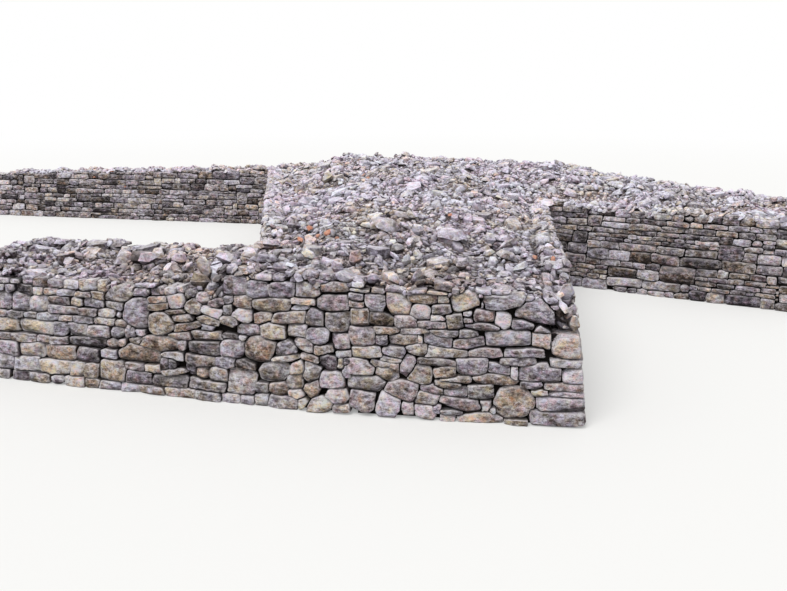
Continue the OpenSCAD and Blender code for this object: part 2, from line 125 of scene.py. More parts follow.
# Stones of the front face right of the straight joint, by course from the top: the corners of each
# in the photo's pixels, and its look where it isn't plain
RIGHT_STONES = [
    [(347, 291.5), (354, 293.5), (363, 294.5), (362, 299.5), (360, 302), (348.5, 298.5),
     "lilac pale"],
    [(349, 302.5), (362, 303), (362.5, 307.5), (350, 308), "tan"],
    [(351, 309), (367.5, 310), (369, 315.5), (367.5, 326), (350.5, 326), "tan"],
    [(365, 295), (384, 294.5), (385, 304), (382, 311.5), (370, 310.5), (365.5, 303), "lilac"],
    [(387, 293.5), (401, 294.5), (406.5, 300.5), (410.5, 304), (408, 315.5), (392, 316),
     (387.5, 306), "pale"],
    [(407, 295), (420, 294), (437, 296), (436, 304), (428, 304), (409, 302), "brown"],
    [(438, 296), (447, 295.5), (449, 304), (438, 304)],
    [(433, 305), (450, 304), (451, 314.5), (446, 315.5), (432, 315), "grey"],
    [(451, 297), (466, 295), (474, 292), (477, 295), (480.5, 305), (458.5, 313.5), (454, 312),
     (450.5, 303), "pale"],
    [(484, 296.5), (505, 297), (525, 295), (526.5, 299), (520, 306), (500, 311), (487, 309.5),
     (483.5, 301), "grey"],
    [(516.5, 313), (523, 307), (531, 302), (541, 300.5), (553.5, 312.5), (554, 325), (537, 322.5),
     (516.5, 319), "lilac pale"],
    [(497.5, 313.5), (505, 313.5), (511, 317), (509.5, 327), (504, 329), (495.5, 323.5), "white"],
    [(476, 310.5), (494.5, 313.5), (493.5, 322), (475, 321.5), (473.5, 319.5), "rose"],
    [(463.5, 313.5), (471, 313), (471, 317.5), (463.5, 317.5), "pale"],
    [(463.5, 318.5), (472, 318.5), (473, 323), (464, 323.5)],
    [(446, 315.5), (461.5, 315.5), (462.5, 329), (447.5, 329.5), "sage"],
    [(466, 324.5), (487.5, 323.5), (499.5, 327.5), (499, 331), (477.5, 331), (465.5, 329), "grey"],
    [(417.5, 322), (430, 321.5), (445, 322), (446, 328.5), (419, 328.5), "rose"],
    [(430.5, 316), (440, 316), (444.5, 320), (444, 322), (431, 321.5), "pale"],
    [(413, 307), (417.5, 305), (426, 306), (430, 310.5), (429.5, 320.5), (419, 320), (410, 315),
     "pale"],
    [(394.5, 317), (410.5, 317.5), (416, 320.5), (416.5, 327.5), (397.5, 328.5), (395, 323.5),
     "rose"],
    [(371, 312.5), (378.5, 312.5), (387.5, 316.5), (393, 320.5), (391.5, 327.5), (383, 326.5),
     (368.5, 323.5), "dark"],
    [(348, 328.5), (372, 328.5), (374.5, 336), (373.5, 343.5), (368.5, 346), (352.5, 346),
     (349, 339), "rose"],
    [(373.5, 327.5), (385, 327.5), (397, 328.5), (399, 332), (391, 334), (377, 335), "brown"],
    [(401, 329.5), (413, 328.5), (424.5, 329), (428, 333), (421, 334), (401.5, 334), "pale"],
    [(375.5, 336), (387, 335.5), (386.5, 346.5), (375.5, 346), "dark"],
    [(388.5, 338), (401.5, 335.5), (416.5, 334.5), (417.5, 343.5), (403.5, 345.5), (390.5, 345.5),
     "tan"],
    [(418, 336.5), (421, 338), (421.5, 344), (418.5, 343), "white"],
    [(424, 336), (427.5, 335), (436.5, 337.5), (451.5, 339), (451.5, 349), (439, 348),
     (423, 343.5), "lilac"],
    [(430, 331), (441, 330), (458, 332), (457.5, 336), (450, 338), (438.5, 336.5), "sage"],
    [(459.5, 330.5), (468.5, 329.5), (477, 333), (477.5, 336), (468.5, 338), (459.5, 338), "grey"],
    [(453, 342.5), (459.5, 340.5), (476, 338), (484, 339), (484.5, 346), (467, 350), (453, 348),
     "rose"],
    [(486, 333), (505.5, 331.5), (529, 331.5), (531.5, 337), (531, 346.5), (500.5, 348.5),
     (486, 346.5), "pale"],
    [(512.5, 320.5), (523, 321), (534, 326), (533.5, 331), (512.5, 330.5), "lilac"],
    [(534.5, 331), (541, 327.5), (545.5, 331), (550.5, 334), (535, 334), "pale"],
    [(533.5, 335), (554.5, 336), (555, 345.5), (551.5, 350), (533, 347), "pale tan"],
    [(505.5, 349.5), (543.5, 349.5), (544, 357.5), (504.5, 357.5), "lilac"],
    [(469, 351.5), (477.5, 349.5), (499, 349.5), (503, 357.5), (468.5, 357.5), "rose"],
    [(430, 346.5), (439, 348), (452, 350), (466.5, 352.5), (467, 358), (425.5, 358), (425, 349),
     "sage"],
    [(406, 347.5), (419.5, 344.5), (425.5, 346), (430, 350), (430, 356), (419.5, 356),
     (409.5, 352.5)],
    [(382, 348), (394, 346), (404.5, 347.5), (404.5, 354), (402, 358.5), (391, 356), (381.5, 352),
     "grey"],
    [(352.5, 347.5), (368.5, 347), (379.5, 346.5), (381, 356), (368.5, 358), (353.5, 357),
     "pale tan"],
    [(339.5, 359.5), (354, 359), (365.5, 362), (374, 369), (371.5, 377.5), (347, 374), (337, 368),
     "pale rose"],
    [(371.5, 361), (389.5, 363), (388, 367), (374.5, 367), (370, 364.5), "pale"],
    [(382.5, 357), (387.5, 358), (401, 361), (400, 363.5), (387.5, 362.5), (380.5, 360), "pale"],
    [(390.5, 364), (399, 364), (399, 370.5), (394.5, 369.5), (390, 367), "tan"],
    [(377, 368), (390.5, 368), (397, 373), (397.5, 379), (391, 383), (383, 380.5), (375.5, 375),
     "tan round"],
    [(406, 356.5), (412.5, 357.5), (416, 360.5), (412.5, 370.5), (406, 376.5), (399, 372),
     (400, 364.5), "rose"],
    [(417.5, 360), (421, 357.5), (428.5, 358), (442.5, 360), (455.5, 363.5), (455.5, 367),
     (429.5, 364), (419.5, 364)],
    [(406.5, 380.5), (416, 366.5), (426.5, 366.5), (432, 371), (430, 385), (425.5, 385),
     (408.5, 382), "tan"],
    [(387.5, 384.5), (400, 381), (418, 384.5), (415, 399.5), (409.5, 401.5), (392.5, 396),
     (384, 391.5), "rose"],
    [(348.5, 377.5), (358.5, 376.5), (376, 378.5), (384, 385), (381, 391.5), (374.5, 393.5),
     (349, 390), (345.5, 385.5), "sage round"],
    [(350.5, 391.5), (357.5, 391), (374.5, 395), (372.5, 410), (368.5, 413), (357.5, 411),
     (348, 407.5), "rose"],
    [(381, 392.5), (387.5, 396), (401, 402), (399, 410), (394, 417.5), (378.5, 416), (375.5, 411),
     "pale"],
    [(401.5, 403), (413.5, 404), (413, 415), (403.5, 415), (401, 409), "pale"],
    [(421, 386.5), (431.5, 385.5), (443, 390), (441.5, 394), (433, 393.5), (421.5, 389.5), "rose"],
    [(435.5, 381), (446, 381.5), (461, 385), (456, 390), (443, 389), (434.5, 386), "tan"],
    [(439, 379), (454.5, 377.5), (470.5, 377), (470.5, 382), (466, 383.5), (454.5, 382),
     (439, 380.5), "tan"],
    [(433.5, 370.5), (445.5, 368), (455.5, 368), (455, 377.5), (445.5, 377), (435.5, 377.5),
     "brown"],
    [(456.5, 360), (475, 359), (487.5, 359.5), (487, 371.5), (480.5, 375), (461.5, 375.5),
     (457.5, 373), "lilac"],
    [(489.5, 363.5), (510, 367), (510, 375), (496.5, 374), (488, 372), "lilac pale"],
    [(511, 368), (517, 368.5), (517, 380), (511, 380), "white"],
    [(501.5, 358.5), (535, 358.5), (536.5, 364.5), (528, 366.5), (500.5, 364), "grey"],
    [(521, 367), (536, 366), (541, 364), (561.5, 366.5), (562, 382), (541, 382.5), (519.5, 381.5),
     "lilac"],
    [(472.5, 378), (480.5, 375.5), (495.5, 375.5), (510.5, 377.5), (520, 383), (510.5, 386.5),
     (477.5, 382.5), "brown"],
    [(468, 387), (492.5, 386.5), (493, 399), (490, 400.5), (477.5, 399), (468, 399), "sage"],
    [(444, 391.5), (454.5, 390.5), (466.5, 389), (467, 398.5), (458.5, 399), (452, 396.5),
     (444.5, 396), "lilac"],
    [(419.5, 392.5), (430, 394), (439, 396.5), (435.5, 406), (415, 404.5), (415.5, 399.5), "pale"],
    [(441.5, 396.5), (452, 397.5), (477.5, 402), (480.5, 409), (477.5, 412), (459.5, 410.5),
     (439.5, 402), "rose"],
    [(480.5, 402), (491, 403.5), (489, 412), (482.5, 412.5), "pale"],
    [(490, 411.5), (496, 408.5), (497.5, 412), (492.5, 415.5), "white"],
    [(414, 406), (431.5, 408), (435.5, 416), (433, 420), (424, 419), (416, 416), "pale rose"],
    [(440.5, 410.5), (455, 411), (462, 413.5), (461, 414.5), (441, 413)],
    [(441, 415.5), (455, 416), (455, 424.5), (440, 424), "pale rose"],
    [(457, 417.5), (477.5, 415), (489.5, 413.5), (503.5, 419.5), (502.5, 424), (490, 426.5),
     (457, 424), "pale tan"],
    [(500.5, 390), (509.5, 387.5), (521, 388.5), (531, 396.5), (535.5, 404.5), (531, 413.5),
     (521, 418.5), (505.5, 419.5), (496.5, 415.5), (493.5, 404.5), "lichen"],
    [(521.5, 383.5), (541, 383.5), (542, 386.5), (535, 390.5), (521, 387), "lilac"],
    [(532, 392), (546.5, 390.5), (547.5, 395), (533, 396.5), "pale"],
    [(505, 421), (527, 421), (527, 426), (505, 426), "tan"],
    [(531, 413), (548, 411), (568, 414), (569, 428), (540, 427), "rose"],
]
# Stones of the front face left of the straight joint
LEFT_STONES = [
    [(223, 278), (230, 275.8), (238, 276.5), (245, 279.5), (244.5, 295), (236.5, 295.7),
     (223, 294.5), "lilac pale"],
    [(246, 281.6), (262.4, 281), (265.8, 283), (266.5, 297.5), (253, 298.5), (246, 296), "lilac"],
    [(266.8, 285), (280, 282.5), (293, 282), (294.5, 289), (292, 297.5), (278.5, 298),
     (269.5, 296.5), "lilac pale"],
    [(295.5, 283), (301.5, 282.5), (314, 286), (318.3, 290.5), (318, 297.5), (296.5, 298),
     (295, 295.5), "grey"],
    [(319.5, 286), (330, 283), (346, 284), (346.5, 292), (321, 292)],
    [(223, 297), (231.5, 297), (232, 302.5), (225, 304)],
    [(233.3, 297.5), (246, 297), (250.5, 300), (250.5, 308.5), (238.5, 308), (232, 305), "brown"],
    [(251.5, 301.3), (260.7, 299), (281, 299.5), (289.5, 301.7), (288, 311.2), (272, 312.2),
     (259, 311.5), (251, 307.7), "tan"],
    [(291.3, 298.8), (300, 299.5), (313.6, 300.7), (313.6, 304.8), (304.5, 304.6), (292.5, 303.2),
     "pale tan"],
    [(290, 309.8), (297.7, 305.2), (306.5, 306.4), (307.8, 309), (301.5, 310.5), "pale"],
    [(314.3, 300.7), (320, 297), (345.5, 296.5), (347, 304), (348, 311), (330, 312),
     (316.5, 309.5), "rose"],
    [(223, 306.5), (230, 306), (230, 315.5), (224, 316), "sage"],
    [(230.7, 316), (237.7, 309), (249, 310.5), (250, 321), (246.5, 323.6), (239.5, 320.5), "white"],
    [(252.5, 316), (259.5, 313.5), (269, 313.5), (270, 320.5), (257, 324.6), (253, 323.6), "brown"],
    [(274.7, 313.8), (288, 312.5), (303.5, 312.8), (304, 320.5), (302.5, 323.7), (286, 324.3),
     (271.5, 322.4), "tan"],
    [(309.8, 308.7), (316.2, 309.6), (323.2, 316), (322, 326.2), (313, 326.8), (304.7, 323),
     (305.3, 318), "grey"],
    [(324, 314), (348.5, 313), (347, 326), (345.5, 333), (330, 331), (325, 326)],
    [(219.5, 318), (225, 316.5), (234.5, 319), (237, 324.3), (233.3, 326.8), (222, 323), "tan"],
    [(236, 326.2), (240.3, 325.6), (255.6, 326.2), (258.2, 331.3), (259, 335.8), (250, 336.4),
     (236.5, 333.9), "rose"],
    [(259.8, 326.8), (268.4, 323.7), (278, 325.6), (285, 327.5), (285, 339), (273.5, 339.3),
     (260.7, 337), "pale tan"],
    [(286, 326.5), (295.2, 325.6), (304.7, 326.8), (305.7, 333.2), (304, 338.3), (292.6, 336.4),
     (286, 336.4), "pale"],
    [(307.3, 330), (312.4, 328.5), (325, 329.4), (328, 333), (327, 341), (320, 345.3),
     (312.4, 342.8), (306, 337.7), "lilac"],
    [(237.8, 336.4), (244.8, 337), (245.4, 340.2), (241.6, 342.2), (238.4, 339.6), "pale"],
    [(331.5, 335.5), (346, 334.5), (348, 339), (349, 348), (334, 349.5), (332.5, 342.5), "rose"],
    [(243, 345), (247, 339.5), (256.5, 337.5), (266, 342), (274.3, 344.6), (273.7, 349.7),
     (268.6, 361.1), (261.6, 363), (249, 361.8), (243, 357), "brown round"],
    [(276.9, 345.2), (285.8, 340.7), (291.5, 343.3), (295.4, 349), (295.4, 353.5), (275, 356),
     (273.7, 351), "grey"],
    [(292.2, 342.6), (296, 338.5), (304.3, 340.1), (312.6, 345.2), (312, 352.9), (306.9, 352.9),
     (297.3, 347.8), "pale"],
    [(313.9, 346.5), (332.4, 346.5), (334.3, 351.6), (323.4, 354.1), (317, 355.4), (313.5, 353.5),
     "tan"],
    [(336, 352.5), (350, 352), (350.5, 357), (337, 357.5)],
    [(270.5, 358.6), (280.7, 357), (297.3, 355.1), (297.9, 358.6), (290.9, 361.8), (282.6, 362.4),
     (273, 361.1), "pale tan"],
    [(297.9, 354.8), (305.6, 354.1), (317.7, 359.2), (319, 363.7), (316.4, 364.3), (306.2, 360.5),
     (300.5, 358), "brown"],
    [(320.3, 358), (328.5, 355.7), (336.2, 357.3), (336.8, 363), (335, 370.7), (329.8, 372.3),
     (319.6, 365.6), "dark lilac"],
    [(257, 372.6), (261.6, 365.6), (269.2, 362.4), (278.2, 363.7), (285.8, 366.2), (289, 370.7),
     (285.8, 376.5), (280.7, 382.2), (268.6, 382.8), (260.3, 381), "sage round"],
    [(291.5, 365), (300.5, 361.1), (303, 365.6), (304.3, 370.7), (302.4, 373.3), (290.9, 374.5),
     (289, 372.6), "pale tan"],
    [(303, 362.4), (308.8, 362.4), (320.3, 368.2), (320.9, 373.3), (318.3, 378.4), (308.8, 382.2),
     (302.4, 373.3), "sage"],
    [(320.3, 372.6), (335.6, 372), (342.6, 375.8), (343.2, 386.7), (334.3, 388), (320.9, 387.3),
     (319.6, 382.2), "pale rose"],
    [(287.7, 376.5), (300.5, 375.8), (302.4, 388), (293.5, 389.2), (288.4, 388), (286.5, 382.2),
     "tan"],
    [(303.7, 386), (316.4, 382.2), (319.6, 390.5), (315.2, 396.9), (311.3, 398.8), (301.8, 389.9),
     "brown"],
    [(255.8, 383.5), (266, 384.1), (267.3, 393.7), (257, 394), (255.2, 389.2), "sage"],
    [(268.6, 385.4), (283.3, 383.8), (286.5, 388.6), (286.5, 395), (280.7, 396.9), (268.6, 392.4),
     "brown"],
    [(288.4, 391.1), (299.8, 390.5), (303.7, 396.2), (297.9, 398.8), (288.4, 395), "pale"],
    [(308.8, 405.2), (312.6, 398.8), (321.5, 396.9), (329.8, 401.3), (331.5, 406), (328, 412),
     (316, 413.5), (307, 411), "pale tan"],
    [(325.4, 395.6), (328.5, 390.5), (337.5, 389.2), (345, 390.8), (347.5, 399.5), (343, 405),
     (332.4, 402.6), "pale rose"],
    [(297.9, 400.7), (304.3, 397.5), (308.1, 402), (302.4, 408.3), (297.3, 410)],
    [(331.5, 407), (337, 404.8), (347, 406), (348.5, 412.5), (333, 412.5), "pale"],
    [(103.4, 298.2), (107.9, 289.3), (120.4, 285.7), (131, 292), (129.3, 298.2), (123, 301.8),
     (104.7, 300.9), "tan"],
    [(123, 306.3), (129.3, 299), (140, 298.2), (147, 302.7), (147, 313.4), (145.4, 328.6),
     (140, 329.5), (128.4, 325), (121.3, 319.6), "lilac"],
    [(132, 290.2), (146.3, 288.4), (147, 298), (132.9, 296.4)],
    [(149.4, 288.4), (163.2, 287.5), (164, 295.5), (149.8, 296), "rose"],
    [(164, 288.4), (174.8, 289.3), (175.7, 294.2), (165, 295), "pale"],
    [(175.7, 287.5), (181, 287.5), (182, 293.3), (175.7, 293.3), "white"],
    [(145.4, 297.3), (164, 296.4), (165, 302.7), (147, 304), "tan"],
    [(146.3, 305.4), (165.9, 303.6), (166.3, 309.8), (152.5, 310.7), (147, 309.8), "brown"],
    [(166.3, 296.4), (181, 294.6), (182.9, 301.8), (181, 308), (170.4, 309.8), (167.2, 308),
     "white"],
    [(163.2, 310.5), (179.3, 309.4), (185.5, 313.4), (167.7, 315.6), "brown"],
    [(182.9, 306.3), (190.9, 298.2), (199.8, 306.3), (198, 315.2), (190, 314.3), (183.8, 310.7),
     "tan"],
    [(183.8, 292.9), (188.2, 290.2), (195.4, 293.8), (189, 300), (184.6, 299), "sage"],
    [(196.3, 293.8), (207.9, 293.8), (207.9, 302.7), (199.8, 304.5), (195.4, 300), "pale rose"],
    [(200.7, 306.3), (221.3, 311.6), (218.6, 319.6), (199.8, 311.6), "white"],
    [(208.8, 300.9), (222, 297.5), (222, 304.5), (216.8, 307.6), (208.8, 304.5), "rose"],
    [(148, 317), (154.3, 313.4), (166.8, 313.4), (172, 321.4), (173, 329.5), (165.9, 334),
     (156, 335.7), (149, 330.4), "tan"],
    [(170.4, 316.5), (187.3, 315.5), (191.8, 320.5), (188.2, 321.4), (173, 321.4), "tan"],
    [(174, 325.9), (196.3, 323.2), (199.8, 326.8), (185.5, 331.3), (174, 331.7), "brown"],
    [(196.3, 318.8), (203.4, 316), (218.6, 322.3), (216.8, 326.8), (199.8, 323.2), "tan"],
    [(200.7, 325), (213.2, 327.7), (210.5, 332), (200.7, 330.4), "pale"],
    [(166.8, 335.7), (188.2, 332), (190.9, 339.3), (174.8, 341), "tan"],
    [(140, 345.5), (142.7, 336.6), (150.7, 336.6), (165.9, 338.4), (177.5, 342.9), (175.7, 349),
     (161.4, 351.8), "brown"],
    [(125.7, 339.3), (140, 336.6), (143.6, 341), (138.2, 345.5), (130.2, 342.9), "tan"],
    [(117.7, 351.8), (128.4, 344.6), (156, 352.7), (157.9, 360.7), (154.3, 365.2), (138.2, 360.7),
     (117.7, 358.9), "brown"],
    [(161.4, 371.4), (179.3, 369.6), (185.5, 373.2), (164, 375.9), "tan"],
]
# Gaps in the face that are left open: left, right, top and bottom in the photo's pixels
OPEN_GAPS = [
    (500, 516, 304, 318), (478, 486, 331, 336), (354, 371, 357, 362), (488, 500, 359, 363),
    (431, 434, 374, 384), (544, 550, 350, 360), (251, 258, 309, 314), (283, 291, 362, 367),
    (270, 274, 313, 320),
]
# What a word in a stone's look means: lightness, warmth (lilac to tan) and hue (sage to rose)
LOOKS = {
    "white": {"light": 0.96, "warm": 0.25},
    "pale": {"light": 0.76},
    "grey": {"light": 0.5, "warm": 0.25, "hue": 0.4},
    "dark": {"light": 0.18},
    "lilac": {"light": 0.54, "warm": 0.0, "hue": 0.6},
    "rose": {"light": 0.47, "warm": 0.35, "hue": 0.9},
    "sage": {"light": 0.52, "warm": 0.45, "hue": 0.08},
    "tan": {"light": 0.52, "warm": 0.8},
    "brown": {"light": 0.38, "warm": 0.95, "hue": 0.65},
    "lichen": {"light": 0.55, "warm": 1.0, "hue": 0.5},
    "round": {"round": True},
}
# How much darker than usual the stones of some walls are painted, for the shade that they lie in
SHADE = {"rear_arm_front": 0.2, "wing_front": 0.17}

# Every random choice comes from this one seeded source, in a fixed order
SEED = 11
draw = np.random.default_rng(SEED)


class Wire:
    """One output socket of a finish. Sums and products of wires and numbers add Math nodes."""

    def __init__(self, finish, socket):
        self.finish = finish
        self.socket = socket

    def also(self, output):
        """Another output of the node that this wire leaves."""
        return Wire(self.finish, self.socket.node.outputs[output])

    def maths(self, operation, first, second):
        """A Math node on two wires or numbers."""
        return self.finish.add("ShaderNodeMath", {"operation": operation}, {0: first, 1: second})

    def __add__(self, other):
        return self.maths("ADD", self, other)

    def __radd__(self, other):
        return self.maths("ADD", other, self)

    def __sub__(self, other):
        return self.maths("SUBTRACT", self, other)

    def __rsub__(self, other):
        return self.maths("SUBTRACT", other, self)

    def __mul__(self, other):
        return self.maths("MULTIPLY", self, other)

    def __rmul__(self, other):
        return self.maths("MULTIPLY", other, self)


# A Mix node's sockets for two colours, and its output for their mixture
COLOUR_A, COLOUR_B, COLOUR_OUT = 6, 7, 2
# How much light dry stone and earth mirror
SHINE = 0.25


class Finish:
    """The nodes of one procedural material, or of the sky."""

    def __init__(self, holder):
        self.holder = holder
        holder.use_nodes = True
        self.tree = holder.node_tree
        self.tree.nodes.clear()

    def add(self, kind, settings=None, sockets=None, out=0):
        """Adds a node: its settings first, then a value or a wire for each socket named."""
        node = self.tree.nodes.new(kind)
        for name, value in (settings or {}).items():
            if name == "ramp":
                self.set_ramp(node.color_ramp, value)
            else:
                setattr(node, name, value)
        for name, value in (sockets or {}).items():
            if isinstance(value, Wire):
                self.tree.links.new(value.socket, node.inputs[name])
            else:
                node.inputs[name].default_value = value
        return Wire(self, node.outputs[out]) if len(node.outputs) else None

    @staticmethod
    def set_ramp(ramp, stops):
        """Gives a ramp its stops, each a place and a colour."""
        while len(ramp.elements) < len(stops):
            ramp.elements.new(1.0)
        for element, (place, colour) in zip(ramp.elements, stops):
            element.position = place
            element.color = colour

    def blend(self, share, first, second, how="MIX"):
        """Mixes two colours: all first where share is 0, all second where it is 1."""
        settings = {"data_type": "RGBA", "blend_type": how}
        sockets = {"Factor": share, COLOUR_A: first, COLOUR_B: second}
        return self.add("ShaderNodeMix", settings, sockets, out=COLOUR_OUT)

    def tint(self, share, colour, tint):
        """Multiplies a colour by a tint where share is 1."""
        return self.blend(share, colour, (*tint, 1.0), "MULTIPLY")

    def vector(self, operation, first, second):
        """Vector maths on two vectors."""
        sockets = {0: first, 1: second}
        return self.add("ShaderNodeVectorMath", {"operation": operation}, sockets)

    def noise(self, place, scale, detail, rough):
        """Clouds from 0 to 1, with about that many in a metre."""
        sockets = {"Vector": place, "Scale": scale, "Detail": detail, "Roughness": rough}
        return self.add("ShaderNodeTexNoise", {}, sockets)

    def step(self, value, low, high):
        """0 below low, 1 above high, smooth between."""
        sockets = {"Value": value, "From Min": low, "From Max": high}
        return self.add("ShaderNodeMapRange", {"interpolation_type": "SMOOTHSTEP"}, sockets)

    def surface(self, colour, rough, height, depth):
        """Joins a colour, a roughness and a bump height into the material."""
        sockets = {"Strength": 1.0, "Distance": depth, "Height": height}
        bump = self.add("ShaderNodeBump", {}, sockets)
        surface = self.add("ShaderNodeBsdfPrincipled", {}, {
            "Base Color": colour, "Roughness": rough, "Normal": bump, "Specular IOR Level": SHINE,
        })
        self.add("ShaderNodeOutputMaterial", {}, {"Surface": surface})
        return self.holder


def rgb(*levels):
    """A colour given in the photo's 0 to 255 levels, as the shader's linear values."""
    parts = [level / 255 for level in levels]
    return (*[(p / 12.92 if p <= 0.04045 else ((p + 0.055) / 1.055) ** 2.4) for p in parts], 1.0)


# Tints of the stones, as what they multiply a grey by
TAN = (1.14, 0.98, 0.7)
LILAC = (0.95, 0.97, 1.14)
ROSE = (1.16, 0.94, 0.96)
SAGE = (0.94, 1.01, 0.92)
RUST = rgb(168, 112, 70)
# How far each stone's own number moves its part of the patterns
OWN_SHIFT = (37.0, 91.0, 53.0)


def weathered_stone(name, shades, growth_and_highlight, algae_and_shade, dust_and_top_light, rims_and_highlight, shaded_flanks, spots, bedded):
    """Weathered limestone. The tone of each stone comes with the mesh: red is its lightness, green
    its warmth, blue a number of its own, and alpha, which is painted shade, runs from 0 on its face
    to 1 behind its edges and, on loose stones, from their tops to deep among them.

    The first colour is pale lichen and dusting, also used as painted highlight; the second is dark
    algal film, also used as painted shade. The next three numbers say how much of them lies on
    tops, edges and sides: the pale tops and edges are partly dusting and lichen and partly painted
    highlight, and the dark sides are painted shade. Painted shade also darkens what faces down.
    Spots says how blotchy a stone is, and bedded how much flatter than wide its blotches are.
    """
    f = Finish(bpy.data.materials.new(name))
    tone = f.add("ShaderNodeAttribute", {"attribute_name": "tone"})
    light = f.add("ShaderNodeSeparateColor", {}, {"Color": tone})
    warm = light.also("Green")
    own = light.also("Blue")
    edge = tone.also("Alpha")

    shifts = {axis: own * shift for axis, shift in zip("XYZ", OWN_SHIFT)}
    place = f.add("ShaderNodeTexCoord", out="Object")
    place = f.vector("ADD", place, f.add("ShaderNodeCombineXYZ", {}, shifts))
    bedding = f.vector("MULTIPLY", place, (1.0, 1.0, bedded))
    cloud = f.noise(place, 5.0, 3.0, 0.6) - 0.5
    patch = f.noise(bedding, 11.0, 4.0, 0.68) - 0.5
    grain = f.noise(bedding, 36.0, 3.0, 0.8) - 0.5
    speck = f.noise(place, 110.0, 2.0, 0.6) - 0.5
    mottle = f.noise(place, 8.0, 3.0, 0.65) - 0.5

    # The bare stone: how light it is, then its tints
    level = light * 0.9 + cloud * 0.9 + (patch * 2.3 + grain * 1.3) * spots + speck * 0.6 + 0.12
    body = f.add("ShaderNodeValToRGB", {"ramp": shades}, {"Fac": level})
    warmth = warm * 0.85 + mottle * 3.4 - patch * 1.2 - grain * 0.3 + 0.03
    body = f.tint(f.step(warmth, 0.3, 1.0), body, TAN)
    body = f.tint(1 - f.step(warmth, -0.2, 0.4), body, LILAC)
    hue = own * 0.5 + f.noise(place, 12.0, 3.0, 0.65) * 2.8 - 1.15
    body = f.tint(f.step(hue, 0.5, 1.0), body, ROSE)
    body = f.tint(1 - f.step(hue, 0.0, 0.45), body, SAGE)
    rust = f.step(warm + mottle * 2.0 + patch * 2.0, 1.25, 1.45)
    body = f.blend(rust * 0.75, body, RUST)

    # What has grown and settled on it: pale crusts and dark film; pale tops and edges, partly
    # dusting and lichen and partly painted highlight; painted shade under it, on its sides, behind
    # its edges and in its joints
    crust = f.step(f.noise(place, 17.0, 5.0, 0.75), 0.53, 0.6)
    crust = crust * f.step(cloud + light * 0.4, 0.0, 0.25)
    body = f.blend(crust * 0.7, body, growth_and_highlight)
    # Pale edges: lichen, and partly painted highlight
    if rims_and_highlight:
        rim = f.step(edge, 0.02, 0.12) * (1 - f.step(edge, 0.2, 0.5))
        rim = rim * f.step(patch + mottle, -0.15, 0.07)
        body = f.blend(rim * (light * 1.2 + 0.1) * rims_and_highlight, body, growth_and_highlight)
    film = f.step(f.noise(bedding, 9.0, 6.0, 0.8), 0.54, 0.66)
    body = f.blend(film * 0.5, body, algae_and_shade)
    facing = f.add("ShaderNodeNewGeometry", out="Normal")
    up = f.add("ShaderNodeSeparateXYZ", {}, {"Vector": facing}, out="Z")
    # Paler on what faces up: dusting and lichen, and partly painted top light
    body = f.blend(f.step(up, 0.15, 0.9) * dust_and_top_light, body, growth_and_highlight)
    # Painted shade on what faces down
    body = f.blend(f.step(0 - up, 0.0, 0.6) * 0.6, body, algae_and_shade)
    # Painted shade on the sides
    if shaded_flanks:
        body = f.blend((1 - f.step(up, -0.1, 0.7)) * shaded_flanks, body, algae_and_shade)
    # Painted shade behind the edges, in the joints and down among the rubble, from the tone's alpha
    body = f.blend(edge * 0.95, body, algae_and_shade)

    height = cloud * 0.4 + patch * 0.8 + grain * 0.8 + speck * 0.2 + crust * 0.06
    return f.surface(body, rough=0.88 + speck * 0.1, height=height, depth=0.03)


def packed_earth():
    """Gravel and dark earth, deep in the joints and under the rubble."""
    f = Finish(bpy.data.materials.new("packed_earth"))
    place = f.add("ShaderNodeTexCoord", out="Object")
    gravel = {"Vector": place, "Scale": 22.0}
    from_gap = f.add("ShaderNodeTexVoronoi", {"feature": "DISTANCE_TO_EDGE"}, gravel)
    own_colour = f.add("ShaderNodeTexVoronoi", {}, gravel, out="Color")
    own = f.add("ShaderNodeSeparateColor", {}, {"Color": own_colour})
    grit = f.noise(place, 60.0, 5.0, 0.7)
    chips = f.step(from_gap, 0.03, 0.14)
    level = chips * (0.25 + own * 0.5) + grit * 0.35
    shades = [(0.1, rgb(58, 51, 51)), (0.45, rgb(122, 109, 108)), (0.95, rgb(188, 177, 178))]
    colour = f.add("ShaderNodeValToRGB", {"ramp": shades}, {"Fac": level})
    height = chips * 0.7 + grit * 0.3
    return f.surface(colour, rough=0.93 + grit * 0.06, height=height, depth=0.03)


def joint_earth_and_shadow():
    """Earth and painted shadow behind the face stones."""
    f = Finish(bpy.data.materials.new("joint_earth_and_shadow"))
    grit = f.noise(f.add("ShaderNodeTexCoord", out="Object"), 40.0, 5.0, 0.7)
    colour = f.blend(grit, rgb(12, 10, 9), rgb(38, 32, 29))
    return f.surface(colour, rough=0.94 + grit * 0.05, height=grit, depth=0.02)


def fired_clay():
    """Broken roof clay among the rubble, faded and dusty."""
    f = Finish(bpy.data.materials.new("fired_clay"))
    cloud = f.noise(f.add("ShaderNodeTexCoord", out="Object"), 30.0, 4.0, 0.6)
    colour = f.blend(f.step(cloud, 0.35, 0.65), rgb(184, 118, 94), rgb(204, 160, 140))
    return f.surface(colour, rough=0.8 + cloud * 0.15, height=cloud, depth=0.01)


